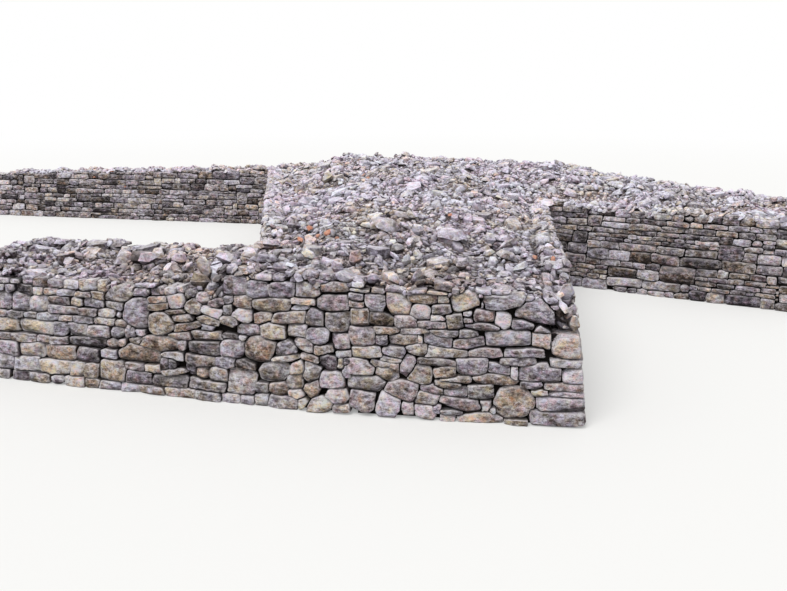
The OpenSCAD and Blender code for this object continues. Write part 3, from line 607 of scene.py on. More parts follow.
FACE_SHADES = [
    (0.0, rgb(42, 37, 37)), (0.28, rgb(104, 96, 98)), (0.52, rgb(153, 144, 147)),
    (0.76, rgb(200, 192, 195)), (1.0, rgb(240, 235, 235)),
]
RUBBLE_SHADES = [
    (0.0, rgb(58, 50, 51)), (0.28, rgb(133, 122, 127)), (0.52, rgb(184, 173, 180)),
    (0.76, rgb(222, 213, 219)), (1.0, rgb(251, 246, 249)),
]
face_stone = weathered_stone(
    "face_stone", FACE_SHADES, growth_and_highlight=rgb(236, 230, 233), algae_and_shade=rgb(34, 29, 28),
    dust_and_top_light=0.28, rims_and_highlight=0.95, shaded_flanks=0.0, spots=1.0, bedded=2.1,
)
rubble_stone = weathered_stone(
    "rubble_stone", RUBBLE_SHADES, growth_and_highlight=rgb(240, 236, 237), algae_and_shade=rgb(50, 41, 41),
    dust_and_top_light=0.25, rims_and_highlight=0.0, shaded_flanks=0.4, spots=0.75, bedded=1.3,
)
earth = packed_earth()
clay = fired_clay()
earth_and_shadow_in_joints = joint_earth_and_shadow()
FINISHES = [face_stone, rubble_stone, earth, clay, earth_and_shadow_in_joints]
FACE, RUBBLE, EARTH, CLAY, JOINT_EARTH_AND_SHADOW = range(len(FINISHES))


# Large odd numbers that scatter whole-numbered points, and the bits that are kept of the result
SCATTER_X, SCATTER_Y, SCATTER_Z, SCATTER = 374761393, 668265263, 2147483647, 1274126177
LOW_32, LOW_16 = 0xFFFFFFFF, 0xFFFF


def lattice(ix, iy, iz, seed):
    """A number from 0 to 1 for each whole-numbered point."""
    h = (ix * SCATTER_X + iy * SCATTER_Y + iz * SCATTER_Z + seed * SCATTER) & LOW_32
    h = ((h ^ (h >> 13)) * SCATTER) & LOW_32
    return ((h ^ (h >> 16)) & LOW_16) / LOW_16


def unevenness(points, size, seed):
    """Smooth noise from -1 to 1 with lumps of that size."""
    q = np.asarray(points, float) / size
    cell = np.floor(q).astype(np.int64)
    part = q - cell
    part = part * part * (3 - 2 * part)
    total = np.zeros(q.shape[:-1])
    for corner in range(8):
        step = np.array([corner & 1, corner >> 1 & 1, corner >> 2 & 1])
        weight = np.prod(np.where(step == 1, part, 1 - part), axis=-1)
        at = cell + step
        total += weight * lattice(at[..., 0], at[..., 1], at[..., 2], seed)
    return total * 2 - 1


def cross(a, b):
    """The cross product of two plan vectors."""
    return a[0] * b[1] - a[1] * b[0]


def turn_between(d, e):
    """The angle from direction d to direction e, positive to the left."""
    return math.atan2(cross(d, e), float(np.dot(d, e)))


def meet(p, d, q, e):
    """Where the line through p along d crosses the line through q along e."""
    return p + d * (cross(q - p, e) / cross(d, e))


def cells(low, high, size, count):
    """The first cell, and the one past the last, that reach from low to high in a row of cells."""
    return max(int(low / size), 0), min(int(high / size) + 1, count)


def solid_tree(names):
    """Some solids as one surface that can be sounded from above."""
    points = []
    faces = []
    for name in names:
        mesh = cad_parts[name].data
        first = len(points)
        points.extend(v.co.copy() for v in mesh.vertices)
        faces.extend([first + k for k in p.vertices] for p in mesh.polygons)
    return BVHTree.FromPolygons(points, faces)


FACE_NODES = [name for bays in WALLS.values() for name in bays]
all_tree = solid_tree(FACE_NODES + CROWNS + FRONT_CORNER_NODES)
crown_trees = {name: solid_tree([name]) for name in CROWNS}


# A height well above every solid
SKY = 10.0


def height_at(x, y):
    """Height of the solids at a plan point, or 0 beside them."""
    hit = all_tree.ray_cast(Vector((x, y, SKY)), Vector((0, 0, -1)))[0]
    return hit.z if hit else 0.0


# How far a leaning face's normal may point up
FACE_TILT = (0.03, 0.3)
# Where the top of a wall is sounded: clear of its corners, step by step, and how far in
CLEAR_OF_CORNER = 0.26
TOP_STEP = 0.04
TOP_BACKS = (0.24, 0.32)


class Wall:
    """One straight face: its foot line, lean and height of its top, all read from its solids."""

    def __init__(self, name, bays):
        self.name = name
        self.bays = bays
        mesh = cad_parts[bays[0]].data
        leaning = [p for p in mesh.polygons if FACE_TILT[0] < p.normal.z < FACE_TILT[1]]
        widest = max(leaning, key=lambda p: p.area)
        out = np.array(widest.normal.xy) / widest.normal.xy.length
        self.inward = -out
        self.way = np.array([-out[1], out[0]])
        self.lean = widest.normal.z / widest.normal.xy.length
        low = np.array(mesh.vertices[widest.vertices[0]].co)
        self.on_foot = low[:2] - self.inward * self.lean * low[2]

    def join(self, before, after):
        """Sets both ends, where the wall meets its neighbours."""
        self.start = meet(before.on_foot, before.way, self.on_foot, self.way)
        self.end = meet(self.on_foot, self.way, after.on_foot, after.way)
        self.length = float(np.linalg.norm(self.end - self.start))
        self.first_turn = turn_between(before.way, self.way)
        self.last_turn = turn_between(self.way, after.way)
        self.steps = np.arange(TOP_STEP / 2, self.length, TOP_STEP)
        tops = []
        for s in np.clip(self.steps, CLEAR_OF_CORNER, self.length - CLEAR_OF_CORNER):
            spots = [self.start + self.way * s + self.inward * back for back in TOP_BACKS]
            tops.append(min(height_at(*spot) for spot in spots))
        self.tops = np.array(tops)

    def top(self, s):
        """Height of the wall's top at s along it."""
        return np.interp(s, self.steps, self.tops)

    def first(self, z):
        """Where the face starts at height z: its lean shortens it at an outer corner."""
        return z * self.lean * math.tan(self.first_turn / 2)

    def last(self, z):
        """Where the face ends at height z."""
        return self.length - z * self.lean * math.tan(self.last_turn / 2)

    def place(self, s, z, out):
        """The point at s along the wall and z up it, standing out of its face by out."""
        back = self.lean * z - out
        x = self.start[0] + self.way[0] * s + self.inward[0] * back
        y = self.start[1] + self.way[1] * s + self.inward[1] * back
        return np.stack([x, y, z + 0 * x], axis=-1)

    def bay(self, s):
        """The name of the node that the face belongs to at s."""
        return self.bays[min(int(s / self.length * len(self.bays)), len(self.bays) - 1)]


walls = {name: Wall(name, bays) for name, bays in WALLS.items()}
ordered = list(walls.values())
for k, wall in enumerate(ordered):
    wall.join(ordered[k - 1], ordered[(k + 1) % len(ordered)])


# From the photo's pixels to the wall
camera_right = Vector((math.cos(TURN_LEFT), math.sin(TURN_LEFT), 0))
camera_ahead = Vector((-math.sin(TURN_LEFT), math.cos(TURN_LEFT), 0))
camera_axis = math.cos(LOOK_DOWN) * camera_ahead - math.sin(LOOK_DOWN) * Vector((0, 0, 1))
camera_up = math.sin(LOOK_DOWN) * camera_ahead + math.cos(LOOK_DOWN) * Vector((0, 0, 1))


def sight(u, v):
    """The direction in which the camera sees a pixel of the photo."""
    across = (u - PHOTO_W / 2) / LENS_PX
    down = (v - PHOTO_H / 2) / LENS_PX
    return camera_axis + across * camera_right - down * camera_up


def seen_on(wall, u, v):
    """Where on a wall's face the photo shows a pixel: along it and up it."""
    leaning = Vector((wall.inward[0], wall.inward[1], -wall.lean))
    start = Vector((wall.start[0], wall.start[1], 0))
    d = sight(u, v)
    p = EYE + d * ((start - EYE).dot(leaning) / d.dot(leaning))
    return float(np.dot(np.array(p.xy) - wall.start, wall.way)), p.z


# How far askew the ends and the beds of a stone are in radians, and the most that they may be
END_ASKEW, BED_ASKEW, MOST_ASKEW = 0.13, 0.045, 0.3
# How often a corner is lost, how the break slants, and the share of the stone that it takes
LOST_CORNERS = 0.45
BREAK_SLANT = (0.5, 1.05)
BREAK_LOSS = (0.12, 0.45)


def rough_sides(half_w, half_h, tilt, is_round):
    """The sides of a stone as half planes about its middle: four askew, and some lost corners."""
    sides = []
    for turn in range(4):
        far, askew = (half_h, BED_ASKEW) if turn % 2 else (half_w, END_ASKEW)
        askew = np.clip(draw.normal(0, askew), -MOST_ASKEW, MOST_ASKEW)
        angle = turn * math.pi / 2 + tilt + askew
        sides.append((math.cos(angle), math.sin(angle), far))
    for quarter in range(4):
        if draw.random() < (1.0 if is_round else LOST_CORNERS):
            slant = draw.uniform(*BREAK_SLANT)
            if quarter % 2:
                slant = math.pi / 2 - slant
            angle = quarter * math.pi / 2 + slant + tilt
            across, up = abs(math.cos(angle - tilt)), abs(math.sin(angle - tilt))
            loss = draw.uniform(*BREAK_LOSS) * min(half_w, half_h)
            far = half_w * across + half_h * up - loss
            sides.append((math.cos(angle), math.sin(angle), far))
    return np.array(sides)


# How far round a corner is, in metres: of most stones, round ones, seen ones and corner stones
ROUNDING = (0.002, 0.007)
ROUND_ROUNDING = (0.02, 0.03)
SEEN_ROUNDING = 0.002
CORNER_ROUNDING = 0.001


class Layout:
    """The stones of one wall on its face: middle, half size, sides and look of each."""

    def __init__(self):
        self.rows = []

    def lay(self, s, z, half_w, half_h, tilt=0.0, look=None, corner=False, sides=None):
        """Adds a stone, with the sides given or with rough ones of its own."""
        look = look or {}
        is_round = bool(look.get("round"))
        is_given = sides is not None
        if not is_given:
            sides = rough_sides(half_w, half_h, tilt, is_round)
        rounding = draw.uniform(*(ROUND_ROUNDING if is_round else ROUNDING))
        if is_given:
            rounding = CORNER_ROUNDING if corner else SEEN_ROUNDING
        self.rows.append({
            "s": s, "z": z, "a": half_w, "b": half_h, "sides": sides, "rounding": rounding,
            "room": SEEN_GROWTH_ROOM if is_given else GROWTH_ROOM, "look": look, "corner": corner,
        })

    def column(self, name):
        """One value of all stones."""
        return np.array([row[name] for row in self.rows], float)


# What keeps the powers in a stone's outline within a number's range
HIGHEST_POWER, LEAST_SUM = 300, 1e-200


def beyond(row, x, y):
    """How far points about a stone's middle lie outside it, negative inside."""
    firm = 0.7 / row["rounding"]
    total = np.zeros(np.broadcast(x, y).shape)
    for across, up, far in row["sides"]:
        total += np.exp(np.minimum((x * across + y * up - far) * firm, HIGHEST_POWER))
    return np.log(total + LEAST_SUM) / firm


def ring_of(points):
    """The outer corners of a stone, anticlockwise."""
    ring = []
    in_order = sorted(points)
    for way in (in_order, in_order[::-1]):
        half = []
        for p in way:
            while len(half) > 1:
                if cross(np.subtract(half[-1], half[-2]), np.subtract(p, half[-1])) > 0:
                    break
                half.pop()
            half.append(p)
        ring += half[:-1]
    return np.array(ring)


def look_of(words):
    """The look that some words give, the first word first."""
    look = {}
    for word in words.split():
        look = {**LOOKS[word], **look}
    return look


def lay_seen_stones(layout, wall, stones):
    """Lays the stones that the photo shows plainly, each by its corners in pixels."""
    for stone in stones:
        words = stone[-1] if isinstance(stone[-1], str) else ""
        corners = stone[:-1] if words else stone
        ring = ring_of([seen_on(wall, u, v) for u, v in corners])
        low, high = ring.min(axis=0), ring.max(axis=0)
        middle = (low + high) / 2
        sides = []
        for p, q in zip(ring, np.roll(ring, -1, axis=0)):
            along = (q - p) / np.linalg.norm(q - p)
            out = (along[1], -along[0])
            sides.append((*out, float(out[0] * (p - middle)[0] + out[1] * (p - middle)[1])))
        half_w, half_h = (high - low) / 2
        layout.lay(*middle, half_w, half_h, look=look_of(words), sides=np.array(sides))


# The grid on which a face is filled up, how high it is, and how far it runs past the wall's ends
GRID = 0.02
GRID_HIGH = 2.1
PAST_END = 0.26
# How close to a stone a spot of the grid counts as taken, and how far round it is looked for
TAKEN_WITHIN = 0.008
TAKEN_REACH = 0.05
END_ROOM = 0.01
# In steps of the grid: the least width and height of a stone, how far its ends stay from the joints
# below it, how short a rest is taken along with it, and how long such a run may then be
LEAST_W, LEAST_H = 6, 3
BOND = 4
SHORT_REST, LONG_RUN = 7, 22
# Stones of a course differ in height, and a few are much higher
COURSE_SPREAD = (0.9, 1.1)
JUMPER_SPREAD = (1.4, 1.7)
JUMPERS = 0.08
THINNEST_COURSE = 0.09
# A stone is made level with its neighbour where their tops are this near, and nearly always
LEVEL_WITHIN, LEVEL_OFTEN = 3, 0.9
# How often a new height of course starts, how many stones are round, and how far stones tilt
NEW_COURSE = 0.12
ROUND_STONES = 0.1
COURSE_TILT, LOOSE_TILT = 0.03, 0.2
# Gaps narrower or lower than this, in steps, stay open in the front face
NARROW_W, NARROW_H = 4, 3
# Loose stones lie where the photo shows the top course ending this near below the top
LOOSE_TOP = 0.24
LOOSE_H = (0.05, 0.1)
# A distance longer than any on a face
FAR_OFF = 9.0


def lay_course_stone(ids, r, c, course, flat):
    """Chooses a stone for the free spot at row r and column c: its width and height in steps."""
    blocked = ids[r, c:] != 0
    run = int(np.argmax(blocked)) if blocked.any() else len(blocked)
    spread = JUMPER_SPREAD if draw.random() < JUMPERS else COURSE_SPREAD
    height = course * draw.uniform(*spread)
    width = max(course, THINNEST_COURSE) * draw.uniform(*STONE_RATIO) * flat
    w = max(int(round(width / GRID)), LEAST_W)
    h = max(int(round(height / GRID)), LEAST_H)
    if r > 0:
        below = ids[r - 1, c:c + w + BOND]
        for joint in np.flatnonzero(np.diff(below)) + 1:
            if abs(w - joint) < BOND:
                w = joint + BOND
    if run - w < SHORT_REST:
        w = run if run < LONG_RUN else run // 2
    for beside in (c - 1, c + w):
        if 0 <= beside < ids.shape[1] and ids[r, beside] > 0:
            free_above = ids[r:, beside] == 0
            neighbour = int(np.argmax(free_above)) if free_above.any() else 0
            is_near = neighbour and abs(h - neighbour) <= LEVEL_WITHIN
            if is_near and draw.random() < LEVEL_OFTEN:
                h = neighbour
                break
    above = (ids[r:r + h, c:c + w] != 0).any(axis=1)
    if above.any():
        h = int(np.argmax(above))
    else:
        spare = (ids[r + h:r + h + LEVEL_WITHIN, c:c + w] != 0).any(axis=1)
        if spare.any():
            h += int(np.argmax(spare))
    if w < NARROW_W:
        h = min(h, w)
    return max(w, 1), max(h, 1)


def free_spots(layout, wall, gaps, middle, height):
    """A grid over the face: 0 where it is free, -1 off it, and each laid stone's number on it."""
    closed = height > wall.top(middle)
    closed |= middle < wall.first(height) - END_ROOM
    closed |= middle > wall.last(height) + END_ROOM
    ids = np.where(closed, -1, 0)
    for k, row in enumerate(layout.rows):
        near = np.abs(middle - row["s"]) < row["a"] + TAKEN_REACH
        taken = beyond(row, middle[near] - row["s"], height - row["z"]) < TAKEN_WITHIN
        ids[:, near] = np.where(taken, k + 1, ids[:, near])
    for left, right, top, bottom in gaps:
        (s0, z0), (s1, z1) = seen_on(wall, left, bottom), seen_on(wall, right, top)
        inside = (middle > s0) & (middle < s1) & (height > z0) & (height < z1)
        ids[inside & (ids == 0)] = -1
    return ids


def fill_up(layout, wall, gaps, flat=1.0):
    """Lays stones from the ground up wherever the face is free, in runs with broken joints."""
    columns = int((wall.length + 2 * PAST_END) / GRID)
    rows = int(GRID_HIGH / GRID)
    middle = (np.arange(columns) + 0.5) * GRID - PAST_END
    height = ((np.arange(rows) + 0.5) * GRID)[:, None]
    ids = free_spots(layout, wall, gaps, middle, height)
    seen_top = np.where(ids > 0, height, 0.0).max(axis=0)
    near_top = (seen_top > wall.top(middle) - LOOSE_TOP) & (ids >= 0).any(axis=0)
    loose_from = np.where(near_top, seen_top, FAR_OFF)
    course = draw.uniform(*STONE_H)
    while (ids == 0).any():
        r = int(np.argmax((ids == 0).any(axis=1)))
        c = int(np.argmax(ids[r] == 0))
        if draw.random() < NEW_COURSE:
            course = draw.uniform(*STONE_H)
        loose = height[r, 0] > loose_from[c]
        w, h = lay_course_stone(ids, r, c, draw.uniform(*LOOSE_H) if loose else course, flat)
        ids[r:r + h, c:c + w] = len(layout.rows) + 1
        stays_open = not loose and (w < NARROW_W or h < NARROW_H) and wall.name in FRONT_WALLS
        if w < 2 or h < 2 or stays_open:
            continue
        look = LOOKS["round"] if draw.random() < ROUND_STONES and w < 2 * h else {}
        tilt = draw.normal(0, COURSE_TILT)
        if loose:
            look = {"loose": True}
            tilt = draw.normal(0, LOOSE_TILT)
        half_w = w * GRID / 2 - draw.uniform(0, 0.008)
        half_h = h * GRID / 2 - draw.uniform(0, 0.005)
        s, z = (c + w / 2) * GRID - PAST_END, (r + h / 2) * GRID
        layout.lay(s, z, half_w, half_h, tilt=tilt, look=look)


# How high the grid of a finished face is, and where in the noise its plane lies
SHARED_HIGH = 2.0
NOISE_PLANE = 3.7
# How far round a stone the face is shared out, and what is kept free round a corner stone
SHARE_REACH = 0.07
CORNER_ROOM = 0.004
# The narrowest and widest joint, as a share of the usual one
JOINT_SPREAD = (0.3, 1.6)


def share_out(layout, wall, grid):
    """Gives every spot of the face to the nearest stone, less the joints and the widest gaps."""
    columns = int((wall.length + 2 * PAST_END) / grid)
    rows = int(SHARED_HIGH / grid)
    s = (np.arange(columns) + 0.5) * grid - PAST_END
    z = (np.arange(rows) + 0.5) * grid
    ss, zz = np.meshgrid(s, z)
    flat = np.stack([ss, zz, np.full_like(ss, NOISE_PLANE)], axis=-1)
    seed = len(layout.rows)
    warped_s = ss + 0.005 * unevenness(flat, 0.11, seed)
    warped_s = warped_s + 0.004 * unevenness(flat, 0.035, seed + 1)
    warped_z = zz + 0.004 * unevenness(flat, 0.12, seed + 2)
    warped_z = warped_z + 0.004 * unevenness(flat, 0.035, seed + 3)
    nearest = np.full(ss.shape, FAR_OFF)
    second = np.full(ss.shape, FAR_OFF)
    owner = np.full(ss.shape, -1)
    kept = np.zeros(ss.shape, bool)
    for k, row in enumerate(layout.rows):
        reach_s, reach_z = row["a"] + SHARE_REACH, row["b"] + SHARE_REACH
        from_end = row["s"] + PAST_END
        c0, c1 = cells(from_end - reach_s, from_end + reach_s, grid, columns)
        r0, r1 = cells(row["z"] - reach_z, row["z"] + reach_z, grid, rows)
        if c0 >= c1 or r0 >= r1:
            continue
        round_it = (slice(r0, r1), slice(c0, c1))
        away = beyond(row, warped_s[round_it] - row["s"], warped_z[round_it] - row["z"])
        if row["corner"]:
            kept[round_it] |= away < CORNER_ROOM
            continue
        near = nearest[round_it]
        next_near = second[round_it]
        better = away < near
        next_near[:] = np.where(better, near, np.minimum(next_near, away))
        owner[round_it][better] = k
        near[better] = away[better]
    joint = draw.uniform(*JOINT_SPREAD, len(layout.rows)) * JOINT
    room = layout.column("room")
    inside = (nearest < room[owner]) & (second - nearest > joint[owner]) & ~kept
    inside &= (ss > wall.first(zz) - 0.02) & (ss < wall.last(zz) + 0.02)
    return np.where(inside, owner, -1)


# How many ways from its middle a stone's reach is sounded, in what steps, and how far
SOUNDED_WAYS = 90
REACH_STEP = 0.004
REACH_END = 0.5


def outlines(layout, owner, grid, sides):
    """The corners of each stone's outline about its middle, closest together where it bends."""
    a = layout.column("a")
    b = layout.column("b")
    turn = np.linspace(0, 2 * math.pi, SOUNDED_WAYS, endpoint=False)
    angle = np.arctan2(b[:, None] * np.sin(turn), a[:, None] * np.cos(turn))
    far = np.arange(REACH_STEP, REACH_END, REACH_STEP)
    s = layout.column("s")[:, None, None] + np.cos(angle)[..., None] * far
    z = layout.column("z")[:, None, None] + np.sin(angle)[..., None] * far
    c = np.floor((s + PAST_END) / grid).astype(int)
    r = np.floor(z / grid).astype(int)
    valid = (c >= 0) & (c < owner.shape[1]) & (r >= 0) & (r < owner.shape[0])
    found = owner[np.clip(r, 0, owner.shape[0] - 1), np.clip(c, 0, owner.shape[1] - 1)]
    mine = valid & (found == np.arange(len(a))[:, None, None])
    reach = far[np.argmin(mine, axis=2)]
    reach = 0.1 * np.roll(reach, 1, axis=1) + 0.8 * reach + 0.1 * np.roll(reach, -1, axis=1)
    x, y = reach * np.cos(angle), reach * np.sin(angle)
    step_x, step_y = np.roll(x, -1, axis=1) - x, np.roll(y, -1, axis=1) - y
    length = np.hypot(step_x, step_y)
    heading = np.arctan2(step_y, step_x)
    bend = np.abs((heading - np.roll(heading, 3, axis=1) + math.pi) % (2 * math.pi) - math.pi)
    bend = (bend + np.roll(bend, -1, axis=1) + np.roll(bend, -2, axis=1)) / 3
    weight = length / length.sum(axis=1, keepdims=True)
    weight = weight + 0.7 * bend / bend.sum(axis=1, keepdims=True)
    chosen_x = np.empty((len(a), sides))
    chosen_y = np.empty((len(a), sides))
    for k in range(len(a)):
        reached = np.concatenate([[0], np.cumsum(weight[k])])
        ways = np.arange(SOUNDED_WAYS + 1)
        at = np.interp(np.arange(sides) / sides * reached[-1], reached, ways)
        chosen_x[k] = np.interp(at, ways, np.append(x[k], x[k, 0]))
        chosen_y[k] = np.interp(at, ways, np.append(y[k], y[k, 0]))
    return chosen_x, chosen_y


# Middle and spread of the stones' lightness and warmth, and the pale ones among them
LIGHT, WARM = (0.5, 0.19), (0.38, 0.3)
PALE_LIGHT, PALE_STONES = 0.8, 0.06


def tones(layout, shade):
    """Lightness, warmth and hue of each stone, its lightness lowered by the painted shade of its
    wall.
    """
    count = len(layout.rows)
    light = np.clip(draw.normal(*LIGHT, count), 0.05, 1.0)
    light = np.where(draw.random(count) < PALE_STONES, PALE_LIGHT, light)
    warm = np.clip(draw.normal(*WARM, count), -0.1, 1.0)
    hue = draw.random(count)
    for k, row in enumerate(layout.rows):
        look = row["look"]
        light[k] = look.get("light", light[k] + 0.05) + draw.normal(0, 0.03)
        warm[k] = look.get("warm", warm[k])
        hue[k] = look.get("hue", 0.2 + 0.6 * hue[k]) + 0.04 * hue[k]
    return np.stack([light - shade, warm, hue], axis=-1)


class Piece:
    """Points, triangles, tones and finishes gathered for one object."""

    def __init__(self):
        self.points = []
        self.faces = []
        self.tones = []
        self.finishes = []
        self.count = 0

    def add(self, points, faces, tone, finish):
        """Adds some triangles, with one finish for all of them or one each."""
        self.points.append(points)
        self.faces.append(faces + self.count)
        self.tones.append(tone)
        self.finishes.append(np.broadcast_to(finish, len(faces)))
        self.count += len(points)

    def build(self, name, slot, *nodes, sharp=34):
        """Makes the object, smooth but for its sharp edges, and lets it stand for its solids."""
        points = np.concatenate(self.points)
        faces = np.concatenate(self.faces)
        mesh = bpy.data.meshes.new(name)
        mesh.vertices.add(len(points))
        mesh.vertices.foreach_set("co", points.astype(np.float32).ravel())
        mesh.loops.add(len(faces) * 3)
        mesh.loops.foreach_set("vertex_index", faces.astype(np.int32).ravel())
        mesh.polygons.add(len(faces))
        mesh.polygons.foreach_set("loop_start", np.arange(0, len(faces) * 3, 3, dtype=np.int32))
        mesh.polygons.foreach_set("material_index", np.concatenate(self.finishes).astype(np.int32))
        mesh.polygons.foreach_set("use_smooth", np.ones(len(faces), bool))
        for finish in FINISHES:
            mesh.materials.append(finish)
        tone = mesh.attributes.new("tone", "FLOAT_COLOR", "POINT")
        tone.data.foreach_set("color", np.concatenate(self.tones).astype(np.float32).ravel())
        mesh.update(calc_edges=True)
        mesh.set_sharp_from_angle(angle=math.radians(sharp))
        piece = bpy.data.objects.new(name, mesh)
        bpy.context.scene.collection.objects.link(piece)
        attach(piece, "root")
        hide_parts(*nodes)
        return piece


def ring_faces(sides, rings):
    """Triangles of a stone: a middle point, rings round it, and a closing point behind."""
    faces = []
    for k in range(sides):
        n = (k + 1) % sides
        faces.append((0, 1 + k, 1 + n))
        for ring in range(rings - 1):
            a, b = 1 + ring * sides + k, 1 + ring * sides + n
            faces.append((a, a + sides, b))
            faces.append((b, a + sides, b + sides))
        last = 1 + (rings - 1) * sides
        faces.append((last + k, last + sides, last + n))
    return np.array(faces)


# How a stone's front is cut, in metres: how far it stands out or in, how it slopes, how far its
# edge drops and it bulges, and how far out of the wall's face it may be
STAND = 0.011
SLOPE = 0.07
EDGE_DROP = (0.004, 0.013)
BULGE = (0.0, 0.009)
ROUND_BULGE = 0.03
FRONT_RANGE = (-0.075, 0.028)
# A stone of this half height has the usual bulge and edge drop
USUAL_HALF = 0.08
# How many flats a front breaks into, and where they start and how far they fall in shares of it
FLATS = 5
FLAT_START = (0.1, 0.85)
FLAT_FALL = (0.05, 0.4)
# Where the worn edge starts, over what share it is worn, and how much painted shade it gets there
WORN_FROM, WORN_OVER, WORN_EDGE_SHADE = 0.8, 0.2, 0.15
# The ring just behind the edge and the ring at the back: width, how far back, and how much painted
# shade each gets
SIDE_WIDTH, SIDE_BACK, SIDE_TONE = 1.005, 0.03, 0.8
BACK_WIDTH, BACK_TONE = 0.9, 1.0
# Layers of noise on a stone: depth, size and seed
BACK_NOISE = (0.02, 0.08, 8)
STONE_NOISE = ((0.007, 0.085, 5), (0.005, 0.035, 6), (0.003, 0.014, 7))
# How near the top a stone counts as one of the top course, and what share of the painted shade on
# its edges it then keeps
TOP_WITHIN = 0.05
TOP_EDGE_TONE = 0.25


def cut_fronts(layout, outline_x, outline_y, rings):
    """The stones' fronts, as rings of points from the middle out, each with its painted edge shade.
    """
    count = len(layout.rows)
    half_w = np.abs(outline_x).max(axis=1)[:, None] + 0.01
    half_h = np.abs(outline_y).max(axis=1)[:, None] + 0.01
    small = np.minimum(half_w, half_h)
    stand = draw.normal(0.0, STAND, (count, 1))
    slope = draw.normal(0, SLOPE, (count, 2))
    is_round = np.array([bool(row["look"].get("round")) for row in layout.rows])[:, None]
    size = np.clip(small / USUAL_HALF, 0.5, 1.3)
    bulge = np.where(is_round, ROUND_BULGE, draw.uniform(*BULGE, (count, 1))) * size
    edge_drop = draw.uniform(*EDGE_DROP, (count, 1)) * size
    way = draw.uniform(0, 2 * math.pi, (count, FLATS))
    start = draw.uniform(*FLAT_START, (count, FLATS))
    fall = draw.uniform(*FLAT_FALL, (count, FLATS))
    levels = []
    for share in (0.0, *rings):
        x = share * outline_x
        y = share * outline_y
        out = stand + slope[:, :1] * x + slope[:, 1:] * y - bulge * share**2.5
        for k in range(FLATS):
            flat = slice(k, k + 1)
            across = x / half_w * np.cos(way[:, flat]) + y / half_h * np.sin(way[:, flat])
            out = out - fall[:, flat] * small * np.maximum(across - start[:, flat], 0)
        wear_and_shade = max(0.0, (share - WORN_FROM) / WORN_OVER)
        out = out - edge_drop * wear_and_shade**3
        levels.append((x, y, np.clip(out, *FRONT_RANGE), WORN_EDGE_SHADE * wear_and_shade))
    return levels


def cut_stones(wall, layout, outline_x, outline_y, detail):
    """The meshes of a wall's stones: a face broken into flats, edges rounded by wear and straight
    sides, with painted shade on their edges, sides and backs.
    """
    count = len(layout.rows)
    tone = tones(layout, SHADE.get(wall.name, 0.0))
    tops = wall.top(layout.column("s"))
    is_top = layout.column("z") + layout.column("b") > tops - TOP_WITHIN
    top_depth = draw.uniform(*TOP_STONE_DEPTH, count)
    depth = np.where(is_top, top_depth, STONE_DEPTH * draw.uniform(0.85, 1.1, count))
    levels = cut_fronts(layout, outline_x, outline_y, detail["rings"])
    edge = levels[-1][2]
    side = (SIDE_WIDTH * outline_x, SIDE_WIDTH * outline_y, edge - SIDE_BACK, SIDE_TONE)
    back = (BACK_WIDTH * outline_x, BACK_WIDTH * outline_y, edge - depth[:, None], BACK_TONE)
    points = []
    edges = []
    for x, y, out, wear_and_shade in (*levels, side, back):
        s = layout.column("s")[:, None] + x
        z = layout.column("z")[:, None] + y
        if wear_and_shade == BACK_TONE:
            most, size, seed = BACK_NOISE
            z = z + most * unevenness(np.stack([s, z, out], -1), size, seed)
        z = np.maximum(z, 0.0)
        spot = np.stack([s, z, out + 5], -1)
        rough = sum(most * unevenness(spot, size, seed) for most, size, seed in STONE_NOISE)
        placed = wall.place(s, z, out + rough)
        points.append(placed if points else placed[:, :1])
        edges.append(np.full(points[-1].shape[:2], wear_and_shade))
    closing = points[-1].mean(axis=1, keepdims=True)
    points = np.concatenate([*points, closing], axis=1)
    # Painted shade of each point: full at the closing point behind, less on the top course
    edges = np.concatenate([*edges, np.ones((count, 1))], axis=1)
    edges = edges * np.where(is_top, TOP_EDGE_TONE, 1.0)[:, None]
    tone = np.repeat(tone[:, None], points.shape[1], axis=1)
    colour = np.concatenate([tone, edges[..., None]], axis=2)
    return points, colour, ring_faces(detail["sides"], len(levels) + 1)


# The slab's steps along the wall, how far below its top it stays, and where its ends are: short
# of an outer corner, and past an inner one
BACKING_STEP = 0.3
BACKING_BELOW = 0.05
BACKING_LOOKS = 0.1
OUTER_END, INNER_END = 0.1, -0.12
BACKING_TONE = [0.3, 0.3, 0.5, 0.5]
BED_TONE = [0.3, 0.3, 0.5, 0.0]


